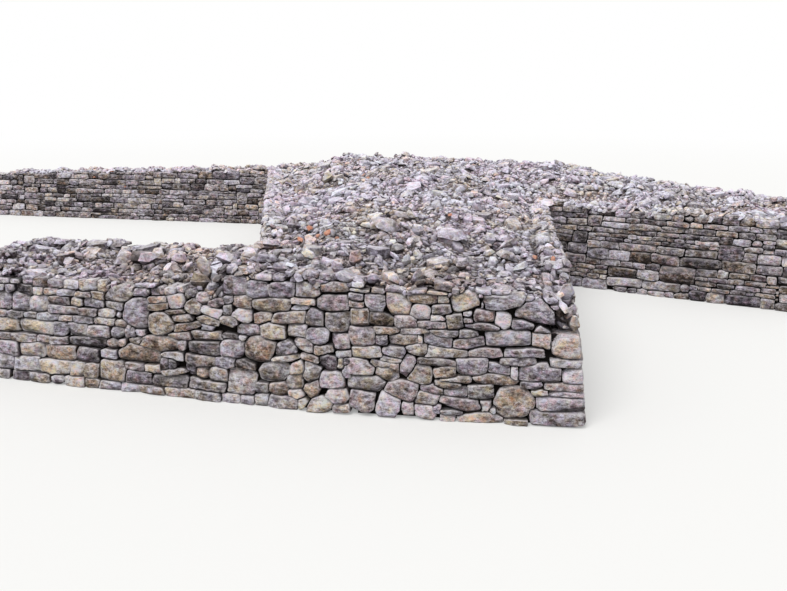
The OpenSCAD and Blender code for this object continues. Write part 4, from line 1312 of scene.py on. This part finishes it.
def backing(wall, piece):
    """A dark slab behind the stones of a wall, painted as the shadow in their joints and gaps, with
    a ledge of gravel along its top.
    """
    n = max(int(wall.length / BACKING_STEP), 2) + 1
    share = np.linspace(0.0, 1.0, n)
    along = share * wall.length
    high = np.minimum(wall.top(along - BACKING_LOOKS), wall.top(along + BACKING_LOOKS))
    high = high - BACKING_BELOW
    low = high - LEDGE_DROP
    profile = (
        (0 * share, -BACKING_DEPTH), (high, -BACKING_DEPTH), (high, -LEDGE_FROM),
        (low, -LEDGE_FROM), (low, -BACKING_BACK), (0 * share, -BACKING_BACK),
    )
    rows = []
    for z, out in profile:
        start = wall.first(z) + (OUTER_END if wall.first_turn > 0 else INNER_END)
        end = wall.last(z) - (OUTER_END if wall.last_turn > 0 else INNER_END)
        rows.append(wall.place(start + (end - start) * share, z, out + 0 * share))
    points = np.concatenate(rows)
    faces = []
    finishes = []
    bands = len(profile)
    for band in range(bands):
        for k in range(n - 1):
            a = band * n + k
            b = (band + 1) % bands * n + k
            faces += [(a, a + 1, b), (a + 1, b + 1, b)]
            finishes += [EARTH if band in LEDGE_BANDS else JOINT_EARTH_AND_SHADOW] * 2
    for k in (0, n - 1):
        ring = [band * n + k for band in range(bands)]
        for a, b, c in ((0, 1, 2), (0, 2, 3), (0, 3, 5), (3, 4, 5)):
            faces.append((ring[a], ring[b], ring[c]) if k == 0 else (ring[c], ring[b], ring[a]))
            finishes.append(JOINT_EARTH_AND_SHADOW)
    tone = np.tile(BACKING_TONE, (len(points), 1))
    piece.add(points, np.array(faces), tone, np.array(finishes))


# Corner stones: blocks that show on two faces, long on each in turn
CORNER_THICK = (0.1, 0.2)
CORNER_LONG = (0.38, 0.58)
CORNER_SHORT = (0.22, 0.32)
THINNEST_CORNER = 0.06
CORNER_GAP = 0.003
CORNER_BREAKS = 7
# The front corner's stones in the photo, from the ground up: left edge and top edge in pixels
FRONT_CORNER = [
    (530, 412), (537, 397.5), (549, 391.5), (544, 384), (563, 369), (550, 360), (553, 336),
]
BLOCK_CELLS = 7


def rounded_block(count):
    """A cube from -1 to 1 with that many cells along each edge, as points and triangles."""
    found = {}
    points = []
    faces = []

    def at(p):
        """The number of the point there, new or found again."""
        key = tuple(np.round(p, 6))
        if key not in found:
            found[key] = len(points)
            points.append(key)
        return found[key]

    steps = np.sin(np.linspace(-1, 1, count + 1) * math.pi / 2)
    for axis in range(3):
        for side in (-1, 1):
            for i in range(count):
                for j in range(count):
                    quad = []
                    for di, dj in ((0, 0), (1, 0), (1, 1), (0, 1)):
                        p = np.zeros(3)
                        p[axis] = side
                        p[(axis + 1) % 3] = steps[i + di]
                        p[(axis + 2) % 3] = steps[j + dj]
                        quad.append(at(p))
                    if side < 0:
                        quad.reverse()
                    faces.append((quad[0], quad[1], quad[2]))
                    faces.append((quad[0], quad[2], quad[3]))
    return np.array(points), np.array(faces)


block_points, block_faces = rounded_block(BLOCK_CELLS)


def corner_courses(before, after):
    """Of each corner stone: foot height, top height, and lengths on the walls before and after."""
    courses = []
    top = min(before.top(before.length - 0.05), after.top(0.05))
    z = 0.0
    if before.name == "front_right":
        for u, v in FRONT_CORNER:
            s, height = seen_on(before, u, v)
            on = draw.uniform(*(CORNER_SHORT if len(courses) % 2 else CORNER_LONG))
            courses.append((z, height, before.last(z) - s, on))
            z = height
        return courses
    while z < top - THINNEST_CORNER:
        thick = min(draw.uniform(*CORNER_THICK), top - z)
        if top - z - thick < THINNEST_CORNER:
            thick = top - z
        long = draw.uniform(*CORNER_LONG)
        short = draw.uniform(*CORNER_SHORT)
        courses.append((z, z + thick, *((long, short) if len(courses) % 2 else (short, long))))
        z += thick
    return courses


def worn_block():
    """The points of a cube from 0 to 1, with its corners and edges worn and broken."""
    q = block_points / np.linalg.norm(block_points, ord=10, axis=1, keepdims=True)
    for way in draw.normal(0, 1, (CORNER_BREAKS, 3)):
        way = way / np.linalg.norm(way)
        over = np.maximum(q @ way - draw.uniform(1.0, 1.35), 0)
        q = q - over[:, None] * way
    return q * 0.5 + 0.5


def corner_stones(before, after, layouts, lengthwise, crosswise):
    """Stacks corner stones where two walls meet, and keeps their places free on both faces."""
    mitre = (before.inward + after.inward) / (1 + math.cos(after.first_turn))
    for low, high, back, on in corner_courses(before, after):
        thick = high - low
        middle = (low + high) / 2
        for wall, s, length in (
            (before, before.last(middle) - back / 2, back),
            (after, after.first(middle) + on / 2, on),
        ):
            half_w, half_h = length / 2, thick / 2
            sides = np.array([(1, 0, half_w), (0, 1, half_h), (-1, 0, half_w), (0, -1, half_h)])
            layouts[wall.name].lay(s, middle, half_w, half_h, corner=True, sides=sides)
        q = worn_block()
        h = low + CORNER_GAP + q[:, 2] * (thick - 2 * CORNER_GAP)
        a = CORNER_GAP + q[:, 0] * (back - 2 * CORNER_GAP)
        b = CORNER_GAP + q[:, 1] * (on - 2 * CORNER_GAP)
        plan = before.end - np.outer(a, before.way) + np.outer(b, after.way)
        plan = plan + np.outer(h * before.lean, mitre)
        points = np.column_stack([plan, h])
        away = points - points.mean(axis=0)
        away = away / np.linalg.norm(away, axis=1, keepdims=True)
        spot = points + low * 3.1
        sink = 0.006 * (unevenness(spot, 0.09, 3) + 0.6)
        sink = sink + 0.004 * (unevenness(spot, 0.035, 4) + 0.5)
        points = points - away * sink[:, None]
        points[:, 2] = np.maximum(points[:, 2], 0.0)
        # Painted shade along the block's edges, carried in the tone's alpha
        near_edge = np.sort(np.abs(block_points), axis=1)[:, 1]
        wear_and_shade = np.clip((near_edge - 0.9) / 0.1, 0, 1) * 0.4
        look = [np.clip(draw.normal(0.6, 0.12), 0, 1), draw.uniform(-0.1, 0.6), draw.random()]
        tone = np.column_stack([np.tile(look, (len(points), 1)), wear_and_shade])
        faces = block_faces if cross(before.way, after.way) < 0 else block_faces[:, ::-1]
        (lengthwise if back > on else crosswise).add(points, faces, tone, FACE)


# Stones whose outline is smaller than this on average are left out
SMALLEST_OUTLINE = 0.018
# The footing course: how much of its height a stone's middle may take, and how far it returns
FOOTING_SHARE = 0.6
FOOTING_END = 2.9


def dress_walls():
    """Lays, cuts and places the stones of every wall, bay by bay."""
    layouts = {name: Layout() for name in walls}
    lay_seen_stones(layouts["front_right"], walls["front_right"], RIGHT_STONES)
    lay_seen_stones(layouts["front_left"], walls["front_left"], LEFT_STONES)
    pieces = {name: Piece() for name in FACE_NODES + FRONT_CORNER_NODES}
    for k, wall in enumerate(ordered):
        before = ordered[k - 1]
        if wall.first_turn > TURN_FOR_CORNER_STONES:
            targets = [pieces[wall.bays[0]]] * 2
            if before.name == "front_right":
                targets = [pieces["corner_headers"], pieces["corner_stretchers"]]
            corner_stones(before, wall, layouts, *targets)
    footing_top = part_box("front_footing")[1][2]
    for wall in ordered:
        layout = layouts[wall.name]
        gaps = OPEN_GAPS if wall.name in FRONT_WALLS else []
        fill_up(layout, wall, gaps, FLATNESS.get(wall.name, 1.0))
        detail = DETAIL.get(wall.name, PLAIN)
        owner = share_out(layout, wall, detail["grid"])
        outline_x, outline_y = outlines(layout, owner, detail["grid"], detail["sides"])
        points, colour, faces = cut_stones(wall, layout, outline_x, outline_y, detail)
        reach = np.hypot(outline_x, outline_y).mean(axis=1)
        for k, row in enumerate(layout.rows):
            if row["corner"] or reach[k] < SMALLEST_OUTLINE:
                continue
            target = wall.bay(row["s"])
            is_low = row["z"] < footing_top * FOOTING_SHARE and row["s"] < FOOTING_END
            if is_low and wall.name in ("front_right", "side"):
                target = "front_footing"
            finish = RUBBLE if row["look"].get("loose") else FACE
            pieces[target].add(points[k], faces, colour[k], finish)
        backing(wall, pieces[wall.bays[0]])
    for name, piece in pieces.items():
        slot = "corner_stone" if name in FRONT_CORNER_NODES else "face_stone"
        piece.build(name + "_stones", slot, name)


# The heap is kept as a grid of heights. Its bed lies this far under the crown, and this far at the
# wall's edge, and changes over this stretch inside the foot line
HEAP_CELL = 0.03
BED_DROP, EDGE_BED = 0.105, 0.005
BED_FROM, BED_OVER = 0.35, 0.1
# How far apart the crown is sounded, how high it is at least, and how far past its edge it is known
SOUNDING = 0.09
LEAST_CROWN = 0.9
SOUNDED_PAST = 4
# Cells over which the heap's height is evened, where the painted shade of its hollows starts and
# how deep the hollows are, and how much weaker the shade is at the edge
EVEN_CELLS = 4
HOLLOW_FROM, HOLLOW_DEPTH = 0.01, 0.055
EDGE_HOLLOW, HOLLOW_INSET, HOLLOW_OVER = 0.35, 0.3, 0.2
# How far a stone may stand out of the crown, and the fewest cells that it rests on
HEAP_ROOM = 0.035
LEAST_CELLS = 3
# How much of the slope under it a stone follows, how steeply it lies at most, its tilt by chance,
# and the share of what is under it that it rests above
SLOPE_SHARE, STEEPEST, CHANCE_TILT, REST_ABOVE = 0.7, 0.5, 0.13, 0.6
# How far loose stones slide from a higher part onto a lower one, and how steeply they lie there
SPILL_REACH = 0.36
SPILL_SLOPE = 0.9
# The distances between which the camera's sight is followed, and its steps
NEAREST_SIGHT, FARTHEST_SIGHT, SIGHT_STEP = 6.0, 40.0, 0.01

# How many shapes of each kind of fragment there are, and width and level of the rings of each kind
FRAGMENT_KINDS = 24
SLAB = ((0.9, -1.0), (0.78, 1.0))
BOULDER = ((0.6, -1.0), (1.0, -0.15), (0.62, 1.0))
# Smallest and largest length of each size of rubble, and how many are tried on a square metre
RUBBLE_SIZES = [(0.26, 0.38, 0.8), (0.17, 0.26, 6.0), (0.1, 0.17, 60.0), (0.06, 0.1, 190.0)]
RUBBLE_INSET = 0.19
# The largest blocks: their length, and how far the crowns' solids stand up where they lie
LARGEST_BLOCKS = (0.32, 0.46)
PEAK = 0.045
# How far inside the foot line they lie and how far apart, and how deep a crown falls at its edge
PEAK_INSET = PEAK_APART = EDGE_FALL = 0.5
# The block in each inner corner: how far in, its half length and half width, and how thick it is
INNER_BLOCK_IN = 0.36
INNER_BLOCK = (0.2, 0.17, 0.1)
# Pits behind the top course that are filled: how far inside the foot line, and how deep
PITS_FROM, PITS_TO = 0.2, 0.5
PIT = 0.035
OVER_EDGE = 0.13
# Seen blocks: what counts as wide, and how far wide ones and others sink in
WIDE_BLOCK = 0.16
WIDE_SUNK, BLOCK_SUNK = 0.9, 0.3
# Rubble nearer than this, or longer, has broken flats, and smaller rubble than this has few corners
CLOSE_RUBBLE = 1.6
LONG_RUBBLE = 0.19
CHIP = 0.06
# Where the rubble is as pale as it gets, how often a stone of it is paler, and by how much
FAR_RUBBLE = 6
PALER_STONES, PALER_BY = 0.08, 0.35
# Loose blocks and slabs that the photo shows on top: left, right, top and bottom in its
# pixels, and look
LOOSE_BLOCKS = [
    (188, 209, 274, 292, "tan"), (195, 211, 255, 276, "pale"), (210, 222, 269, 288, "white"),
    (135, 155, 254, 268, "pale"), (214, 237, 249, 266, "lilac"),
    (566, 580.5, 318, 334, "pale round"), (565.5, 577, 304, 318, "pale round"),
    (558.5, 574.5, 285, 305, "pale round"), (560, 569.5, 274, 283, "pale round"),
    (550, 567, 263, 274, "pale round"), (531, 553, 232, 242, "pale"),
    (483, 496, 233, 246, "white"), (499, 519, 239, 251, "lilac pale"),
    (482, 495, 252, 260, "pale"), (410, 424, 227, 238, "white"),
    (435, 467, 230, 245, "lilac pale"), (401, 411, 254, 266, "white"),
    (257, 278, 241, 251, "pale"), (284, 300, 219, 232, "grey"), (320, 332, 171, 186, "pale"),
    (240, 257, 251, 260, "pale"), (346, 362, 251, 267, "rose"), (410, 424, 267, 283, "grey"),
    (369, 401, 219, 235, "grey"), (387, 401, 276, 287, "pale"), (300, 316, 250, 262, "white"),
    (270, 290, 262, 274, "lilac"), (455, 470, 262, 274, "grey"), (512, 528, 262, 274, "pale"),
    (330, 344, 262, 276, "lilac"), (366, 379, 276, 287, "lilac"),
]
# Where the photo shows broken roof clay
CLAY_SPOTS = [
    (368, 178), (364, 175), (310, 232), (318, 236), (328, 234), (337, 238), (450, 215),
    (535, 258), (553, 259), (100, 232), (118, 236), (130, 240), (300, 240),
]


def fragment(corners, rings_at, rough, seed):
    """A broken stone from -1 to 1: the hull of uneven rings, with broken flats if it is rough."""
    chance = np.random.default_rng(seed)
    angle = (np.arange(corners) + chance.uniform(-0.3, 0.3, corners)) / corners * 2 * math.pi
    far = chance.uniform(0.72, 1.0, corners)
    rings = []
    for width, level in rings_at:
        reach = far * width * chance.uniform(0.88, 1.12) * chance.uniform(0.85, 1.0, corners)
        lift = level * (1 - 0.5 * chance.random(corners)) + chance.uniform(-0.05, 0.05, corners)
        rings.append(np.column_stack([np.cos(angle) * reach, np.sin(angle) * reach, lift]))
        angle = angle + chance.uniform(-0.25, 0.25)
    hull = bmesh.new()
    for point in np.concatenate(rings):
        hull.verts.new(point)
    bmesh.ops.convex_hull(hull, input=hull.verts)
    if rough:
        bmesh.ops.subdivide_edges(hull, edges=hull.edges, cuts=1, use_grid_fill=True)
        bmesh.ops.triangulate(hull, faces=hull.faces)
    hull.verts.index_update()
    used = [v for v in hull.verts if v.link_faces]
    points = np.array([v.co for v in used])
    order = {v.index: k for k, v in enumerate(used)}
    faces = np.array([[order[v.index] for v in f.verts] for f in hull.faces])
    hull.free()
    if rough:
        points = points * (1 + 0.06 * unevenness(points + seed, 0.4, seed))[:, None]
    return points / np.abs(points).max(axis=0), faces


def depth_inside(x, y):
    """How far plan points are inside the wall's foot line, negative outside."""
    corners = np.array([wall.start for wall in ordered])
    inside = np.zeros(x.shape, bool)
    nearest = np.full(x.shape, np.inf)
    for p, q in zip(corners, np.roll(corners, -1, axis=0)):
        if p[1] != q[1]:
            at = (q[0] - p[0]) * (y - p[1]) / (q[1] - p[1]) + p[0]
            inside ^= ((p[1] > y) != (q[1] > y)) & (x < at)
        d = q - p
        k = np.clip(((x - p[0]) * d[0] + (y - p[1]) * d[1]) / (d @ d), 0, 1)
        nearest = np.minimum(nearest, np.hypot(x - p[0] - k * d[0], y - p[1] - k * d[1]))
    return np.where(inside, nearest, -nearest)


class Heap:
    """Height of the rubble so far, on a grid over the plan, and the stones in it."""

    def __init__(self):
        self.stones = []
        low, high = cad_box
        self.x0, self.y0 = low[0], low[1]
        self.nx = int((high[0] - low[0]) / HEAP_CELL) + 2
        self.ny = int((high[1] - low[1]) / HEAP_CELL) + 2
        x = self.x0 + (np.arange(self.nx) + 0.5) * HEAP_CELL
        y = self.y0 + (np.arange(self.ny) + 0.5) * HEAP_CELL
        self.top = self.crown_height(x, y)
        self.inset = depth_inside(*np.meshgrid(x, y))
        inner = np.clip((self.inset - BED_FROM) / BED_OVER, 0, 1)
        self.bed = self.top - (EDGE_BED + (BED_DROP - EDGE_BED) * inner)
        self.level = self.bed.copy()
        self.filled = self.top.copy()
        for _ in range(int(SPILL_REACH / HEAP_CELL)):
            for axis in (0, 1):
                for way in (-1, 1):
                    spilled = np.roll(self.filled, way, axis=axis) - SPILL_SLOPE * HEAP_CELL
                    self.filled = np.maximum(self.filled, spilled)

    @staticmethod
    def crown_height(x, y):
        """Height of the crown over a grid, worked out from soundings that run on past its edge."""
        low, high = cad_box
        gx = np.arange(low[0], high[0] + SOUNDING, SOUNDING)
        gy = np.arange(low[1], high[1] + SOUNDING, SOUNDING)
        known = np.array([[height_at(sx, sy) for sx in gx] for sy in gy])
        rows, columns = known.shape
        for _ in range(SOUNDED_PAST):
            wide = np.pad(known, 1)
            around = [wide[j:j + rows, i:i + columns] for i in range(3) for j in range(3)]
            known = np.where(known < LEAST_CROWN, np.max(around, axis=0), known)
        fx = np.clip((x - low[0]) / SOUNDING, 0, columns - 1.001)
        fy = np.clip((y - low[1]) / SOUNDING, 0, rows - 1.001)
        ix, iy = fx.astype(int), fy.astype(int)
        tx, ty = fx - ix, (fy - iy)[:, None]
        between = known[iy] * (1 - ty) + known[iy + 1] * ty
        return between[:, ix] * (1 - tx) + between[:, ix + 1] * tx

    def cell_of(self, x, y):
        """Row and column of plan points, the nearest ones for points off the grid."""
        r = np.clip(((y - self.y0) / HEAP_CELL).astype(int), 0, self.ny - 1)
        c = np.clip(((x - self.x0) / HEAP_CELL).astype(int), 0, self.nx - 1)
        return r, c

    def met_by(self, u, v):
        """Where the camera's sight of a pixel meets the heap, and how far away that is."""
        far = np.arange(NEAREST_SIGHT, FARTHEST_SIGHT, SIGHT_STEP)
        points = np.array(EYE) + far[:, None] * np.array(sight(u, v).normalized())
        at = self.cell_of(points[:, 0], points[:, 1])
        met = int(np.argmax((points[:, 2] < self.level[at]) & (self.inset[at] > 0.05)))
        return points[met], far[met]

    def hollow_shade(self, x, y, z):
        """How far points lie down among the stones, as a share of painted shade: 0 at their tops, 1
        well below them.
        """
        at = self.cell_of(x, y)
        inner = np.clip((self.inset[at] - HOLLOW_INSET) / HOLLOW_OVER, 0, 1)
        strength = EDGE_HOLLOW + (1 - EDGE_HOLLOW) * inner
        return np.clip((self.even[at] - z + HOLLOW_FROM) / HOLLOW_DEPTH, 0, 1) * strength

    def settle(self):
        """Works out the even height of the heap round each spot."""
        self.even = self.level.copy()
        for axis in (0, 1):
            shifts = range(-EVEN_CELLS, EVEN_CELLS + 1)
            self.even = sum(np.roll(self.even, k, axis=axis) for k in shifts) / len(shifts)

    def window(self, x, y, reach):
        """The part of the grid round a point, and where its cells are from the point."""
        c0, c1 = cells(x - reach - self.x0, x + reach - self.x0, HEAP_CELL, self.nx)
        r0, r1 = cells(y - reach - self.y0, y + reach - self.y0, HEAP_CELL, self.ny)
        gx = self.x0 + (np.arange(c0, c1) + 0.5) * HEAP_CELL - x
        gy = self.y0 + (np.arange(r0, r1) + 0.5) * HEAP_CELL - y
        return (slice(r0, r1), slice(c0, c1)), *np.meshgrid(gx, gy)

    def drop(self, x, y, a, b, thick, turn, forced=False, sunk=0.6, finish=RUBBLE, look=None):
        """Rests a stone of these half sizes on the heap, unless it can't lie there."""
        round_it, xx, yy = self.window(x, y, a)
        u = (xx * math.cos(turn) + yy * math.sin(turn)) / a
        v = (yy * math.cos(turn) - xx * math.sin(turn)) / b
        under = u * u + v * v < 1
        if under.sum() < LEAST_CELLS:
            return
        level = self.level[round_it]
        h = level[under]
        covered = (h > self.bed[round_it][under] + 0.02).mean()
        if not forced and covered > draw.uniform(0.35, 0.95):
            return
        plane = np.column_stack([xx[under], yy[under], np.ones(len(h))])
        slope = np.linalg.lstsq(plane, h, rcond=None)[0][:2]
        tilt = np.clip(slope * SLOPE_SHARE, -STEEPEST, STEEPEST) + draw.normal(0, CHANCE_TILT, 2)
        rest = np.quantile(h, REST_ABOVE) + thick * (1 - sunk)
        high = rest + thick * 0.9
        top = self.top[round_it][under].mean()
        if not forced and high > top + HEAP_ROOM + 0.25 * thick:
            rest -= high - top - HEAP_ROOM - 0.25 * thick
            if rest < np.quantile(h, 0.3) - 0.3 * thick:
                return
        round_top = thick * 0.85 * np.sqrt(np.maximum(1 - u * u - v * v, 0))
        crown = rest + round_top + tilt[0] * xx + tilt[1] * yy
        level[under] = np.maximum(level, crown)[under]
        self.stones.append(((x, y, rest), (a, b, thick), turn, tilt, finish, look or {}))


def inner_corners():
    """Where the tops of two walls meet in an inner corner, as a plan point well inside it."""
    spots = []
    for before, wall in zip([ordered[-1], *ordered], ordered):
        if wall.first_turn < -TURN_FOR_CORNER_STONES:
            diagonal = before.inward + wall.inward
            spots.append(wall.start + diagonal / np.linalg.norm(diagonal) * INNER_BLOCK_IN)
    return spots


def highest_spots():
    """The tops of the largest blocks, where the crowns' solids stand up from all round."""
    spots = []
    for name in CROWNS:
        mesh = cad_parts[name].data
        beside = {}
        for edge in mesh.edges:
            a, b = edge.vertices
            beside.setdefault(a, []).append(mesh.vertices[b].co.z)
            beside.setdefault(b, []).append(mesh.vertices[a].co.z)
        for vertex in mesh.vertices:
            heights = beside[vertex.index]
            stands_up = vertex.co.z - sum(heights) / len(heights) > PEAK
            is_edge = vertex.co.z - min(heights) >= EDGE_FALL
            is_apart = all((vertex.co - spot).length > PEAK_APART for spot in spots)
            if stands_up and not is_edge and is_apart:
                spots.append(vertex.co.copy())
    inset = depth_inside(*np.array(spots)[:, :2].T)
    return [spot for spot, inside in zip(spots, inset) if inside > PEAK_INSET]


def lay_large_blocks(heap):
    """Lays a block in each inner corner and one on each of the crowns' high spots."""
    for x, y in inner_corners():
        heap.drop(x, y, *INNER_BLOCK, draw.uniform(0, math.pi), forced=True)
    for spot in highest_spots():
        a = draw.uniform(*LARGEST_BLOCKS) / 2
        b = a * draw.uniform(0.6, 0.85)
        thick = draw.uniform(0.05, 0.09)
        heap.drop(spot.x, spot.y, a, b, thick, draw.uniform(0, math.pi), forced=True)


def strew_rubble(heap):
    """Drops stones all over the heap, the large ones first."""
    low, high = cad_box
    area = (high[0] - low[0]) * (high[1] - low[1])
    for smallest, largest, per_m2 in RUBBLE_SIZES:
        count = int(area * per_m2)
        x = draw.uniform(low[0], high[0], count)
        y = draw.uniform(low[1], high[1], count)
        half = draw.uniform(smallest, largest, count) / 2
        near = depth_inside(x, y)
        for k in np.flatnonzero(near > RUBBLE_INSET + half * 0.65):
            b = half[k] * draw.uniform(0.55, 0.95)
            thick = b * draw.uniform(0.2, 0.75)
            heap.drop(x[k], y[k], half[k], b, thick, draw.uniform(0, math.pi))


def lay_seen_blocks(heap):
    """Lays the loose blocks that the photo shows."""
    for left, right, top, bottom, words in LOOSE_BLOCKS:
        (x, y, _), far = heap.met_by((left + right) / 2, bottom - 2)
        half_w = (right - left) / 2 / LENS_PX * far
        half_h = (bottom - top) / 2 / LENS_PX * far
        thick = max(1.2 * half_h - 0.2 * half_w, 0.03)
        sunk = WIDE_SUNK if half_w > WIDE_BLOCK else BLOCK_SUNK
        heap.drop(
            x, y + half_w * 0.6, half_w, half_w * 0.7, thick, TURN_LEFT,
            forced=True, sunk=sunk, look=look_of(words),
        )


def fill_pits(heap):
    """Drops stones wherever the heap is still low behind the top course."""
    pits = (heap.inset > PITS_FROM) & (heap.inset < PITS_TO)
    for r, c in draw.permutation(np.argwhere(pits)):
        if heap.filled[r, c] - heap.level[r, c] > PIT:
            half = min(draw.uniform(0.05, 0.1), heap.inset[r, c] - OVER_EDGE)
            x, y = heap.x0 + (c + 0.5) * HEAP_CELL, heap.y0 + (r + 0.5) * HEAP_CELL
            turn = draw.uniform(0, math.pi)
            heap.drop(x, y, half, half * 0.8, half * 0.5, turn, forced=True)


def lay_clay(heap):
    """Lays the fragments of broken roof clay."""
    for u, v in CLAY_SPOTS:
        (x, y, _), _ = heap.met_by(u, v)
        half, turn = draw.uniform(0.045, 0.075), draw.uniform(0, 3)
        heap.drop(x, y, half, 0.04, 0.018, turn, forced=True, finish=CLAY)


def nearest_crown(point):
    """The name of the crown that a point belongs to."""
    return min(CROWNS, key=lambda name: crown_trees[name].find_nearest(Vector(point))[3])


def fragments(corners, rings_at, rough, seed):
    """Every shape of one kind of fragment."""
    return [fragment(corners, rings_at, rough, seed + k) for k in range(FRAGMENT_KINDS)]


def crown_bed(name):
    """The gravelly bed under the rubble: the crown's own form, a little lower."""
    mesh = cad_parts[name].data
    points = np.array([v.co for v in mesh.vertices])
    z = points[:, 2]
    base = z.min()
    points[:, 2] = np.where(z > base + 0.01, np.maximum(z - BED_DROP, base + 0.005), base)
    return points, np.array([p.vertices[:3] for p in mesh.polygons])


def lay_down(points, middle, turn, tilt):
    """Turns and tilts a fragment and puts it in its place, no higher than the solids are."""
    ct, st = math.cos(turn), math.sin(turn)
    x = points[:, 0] * ct - points[:, 1] * st
    y = points[:, 0] * st + points[:, 1] * ct
    z = points[:, 2] + tilt[0] * x + tilt[1] * y
    z = z - max(0.0, middle[2] + z.max() - cad_box[1][2])
    return np.column_stack([middle[0] + x, middle[1] + y, middle[2] + z])


def rubble_tone(look, half, far, soil, blush):
    """Lightness, warmth and hue of a loose stone, paler and less warm farther back."""
    light = draw.normal(0.28 + 0.36 * far, 0.25 - 0.14 * far)
    light = light + (PALER_BY if draw.random() < PALER_STONES else 0.0)
    light = np.clip(light - 0.08 * soil, -0.1, 1.1)
    warm = min(draw.normal(0.3 - 0.3 * far, 0.35) + 0.55 * soil, 1.2 - 3 * half)
    hue = draw.random() + 0.8 * blush
    return look.get("light", light), look.get("warm", warm), look.get("hue", hue)


def dress_crowns():
    """Covers the crowns with rubble over a gravelly bed."""
    chips = fragments(4, SLAB, False, 80)
    slabs = fragments(6, SLAB, False, 40)
    close_slabs = fragments(7, SLAB, True, 20)
    boulders = fragments(5, BOULDER, False, 120)
    close_boulders = fragments(5, BOULDER, True, 160)
    heap = Heap()
    for lay in (lay_large_blocks, strew_rubble, lay_seen_blocks, fill_pits, lay_clay):
        lay(heap)
    heap.settle()
    pieces = {name: Piece() for name in CROWNS}
    centres = np.array([(x, y, NOISE_PLANE) for (x, y, _), *_ in heap.stones])
    soil = unevenness(centres, 0.9, 31) + 0.5 * unevenness(centres, 0.4, 33)
    blush = unevenness(centres, 0.6, 32)
    for k, (middle, size, turn, tilt, finish, look) in enumerate(heap.stones):
        a, b, thick = size
        is_close = middle[1] < CLOSE_RUBBLE or a > LONG_RUBBLE
        if a < CHIP:
            shapes = chips
        elif look.get("round") or thick > 0.5 * b:
            shapes = close_boulders if is_close else boulders
        else:
            shapes = close_slabs if is_close else slabs
        points, faces = shapes[draw.integers(FRAGMENT_KINDS)]
        points = lay_down(points * size, middle, turn, tilt)
        far = np.clip(middle[1] / FAR_RUBBLE, 0, 1)
        tone = np.tile([*rubble_tone(look, a, far, soil[k], blush[k]), 0.0], (len(points), 1))
        # Alpha is painted shade down among the stones, weaker farther back
        tone[:, 3] = heap.hollow_shade(*points.T) * (1 - 0.45 * far)
        pieces[nearest_crown(middle)].add(points, faces, tone, finish)
    for name in CROWNS:
        points, faces = crown_bed(name)
        pieces[name].add(points, faces, np.tile(BED_TONE, (len(points), 1)), EARTH)
        pieces[name].build(name + "_rubble", "rubble", name, sharp=20)


def dress_hearting():
    """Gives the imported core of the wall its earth."""
    for name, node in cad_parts.items():
        if "hearting" in name:
            node.data.materials.clear()
            node.data.materials.append(earth)


FLOOR_RADIUS = 150
FLOOR_MIDDLE = (0, 7, -0.002)
# The floor shades off into the white backdrop between these distances
FADE_FROM, FADE_TO = 14.0, 60.0
WHITE = (1, 1, 1, 1)
SKY_COLOUR, SKY_STRENGTH = (0.98, 0.99, 1.0, 1), 0.72
LAMP_STRENGTH, LAMP_WIDTH = 2.1, math.radians(40)
LAMP_TILT, LAMP_TURN = math.radians(36), math.radians(-28)


def set_floor():
    """A pale floor that turns into the backdrop far off."""
    bpy.ops.mesh.primitive_circle_add(
        vertices=96, radius=FLOOR_RADIUS, fill_type="NGON", location=FLOOR_MIDDLE,
    )
    floor = bpy.context.object
    floor.name = "floor"
    f = Finish(bpy.data.materials.new("floor"))
    camera = f.add("ShaderNodeLightPath", out="Is Camera Ray")
    glossy = camera.also("Is Glossy Ray")
    place = f.add("ShaderNodeTexCoord", out="Object")
    away = f.add("ShaderNodeVectorMath", {"operation": "LENGTH"}, {0: place}, out="Value")
    far = f.step(away, FADE_FROM, FADE_TO)
    ground = f.blend(camera, rgb(112, 108, 103), rgb(226, 225, 222))
    plain = f.add("ShaderNodeBsdfDiffuse", {}, {"Color": ground})
    white = f.add("ShaderNodeEmission", {}, {"Color": WHITE, "Strength": 1.0})
    share = (camera + glossy) * (0.3 + far * 0.7)
    shade = f.add("ShaderNodeMixShader", {}, {0: share, 1: plain, 2: white})
    f.add("ShaderNodeOutputMaterial", {}, {"Surface": shade})
    floor.data.materials.append(f.holder)


def set_light():
    """An even sky that is white behind the wall, and one wide soft lamp."""
    f = Finish(bpy.data.worlds.new("sky"))
    bpy.context.scene.world = f.holder
    camera = f.add("ShaderNodeLightPath", out="Is Camera Ray")
    seen = camera.maths("MAXIMUM", camera, camera.also("Is Glossy Ray"))
    sky = f.add("ShaderNodeBackground", {}, {"Color": SKY_COLOUR, "Strength": SKY_STRENGTH})
    backdrop = f.add("ShaderNodeBackground", {}, {"Color": WHITE})
    light = f.add("ShaderNodeMixShader", {}, {0: seen, 1: sky, 2: backdrop})
    f.add("ShaderNodeOutputWorld", {}, {"Surface": light})
    lamp = bpy.data.lights.new("high_sun", "SUN")
    lamp.energy = LAMP_STRENGTH
    lamp.angle = LAMP_WIDTH
    sun = bpy.data.objects.new("high_sun", lamp)
    sun.rotation_euler = (LAMP_TILT, 0, LAMP_TURN)
    bpy.context.scene.collection.objects.link(sun)


def set_camera():
    """The camera, where the photo was taken from."""
    camera = bpy.data.cameras.new("camera")
    camera.sensor_width = SENSOR_MM
    camera.lens = SENSOR_MM * LENS_PX / PHOTO_W
    holder = bpy.data.objects.new("camera", camera)
    turn = Matrix((camera_right, camera_up, -camera_axis)).transposed().to_4x4()
    holder.matrix_world = Matrix.Translation(EYE) @ turn
    bpy.context.scene.collection.objects.link(holder)
    bpy.context.scene.camera = holder


bpy.context.scene.view_settings.view_transform = "Standard"
set_camera()
set_floor()
set_light()
dress_walls()
dress_crowns()
dress_hearting()
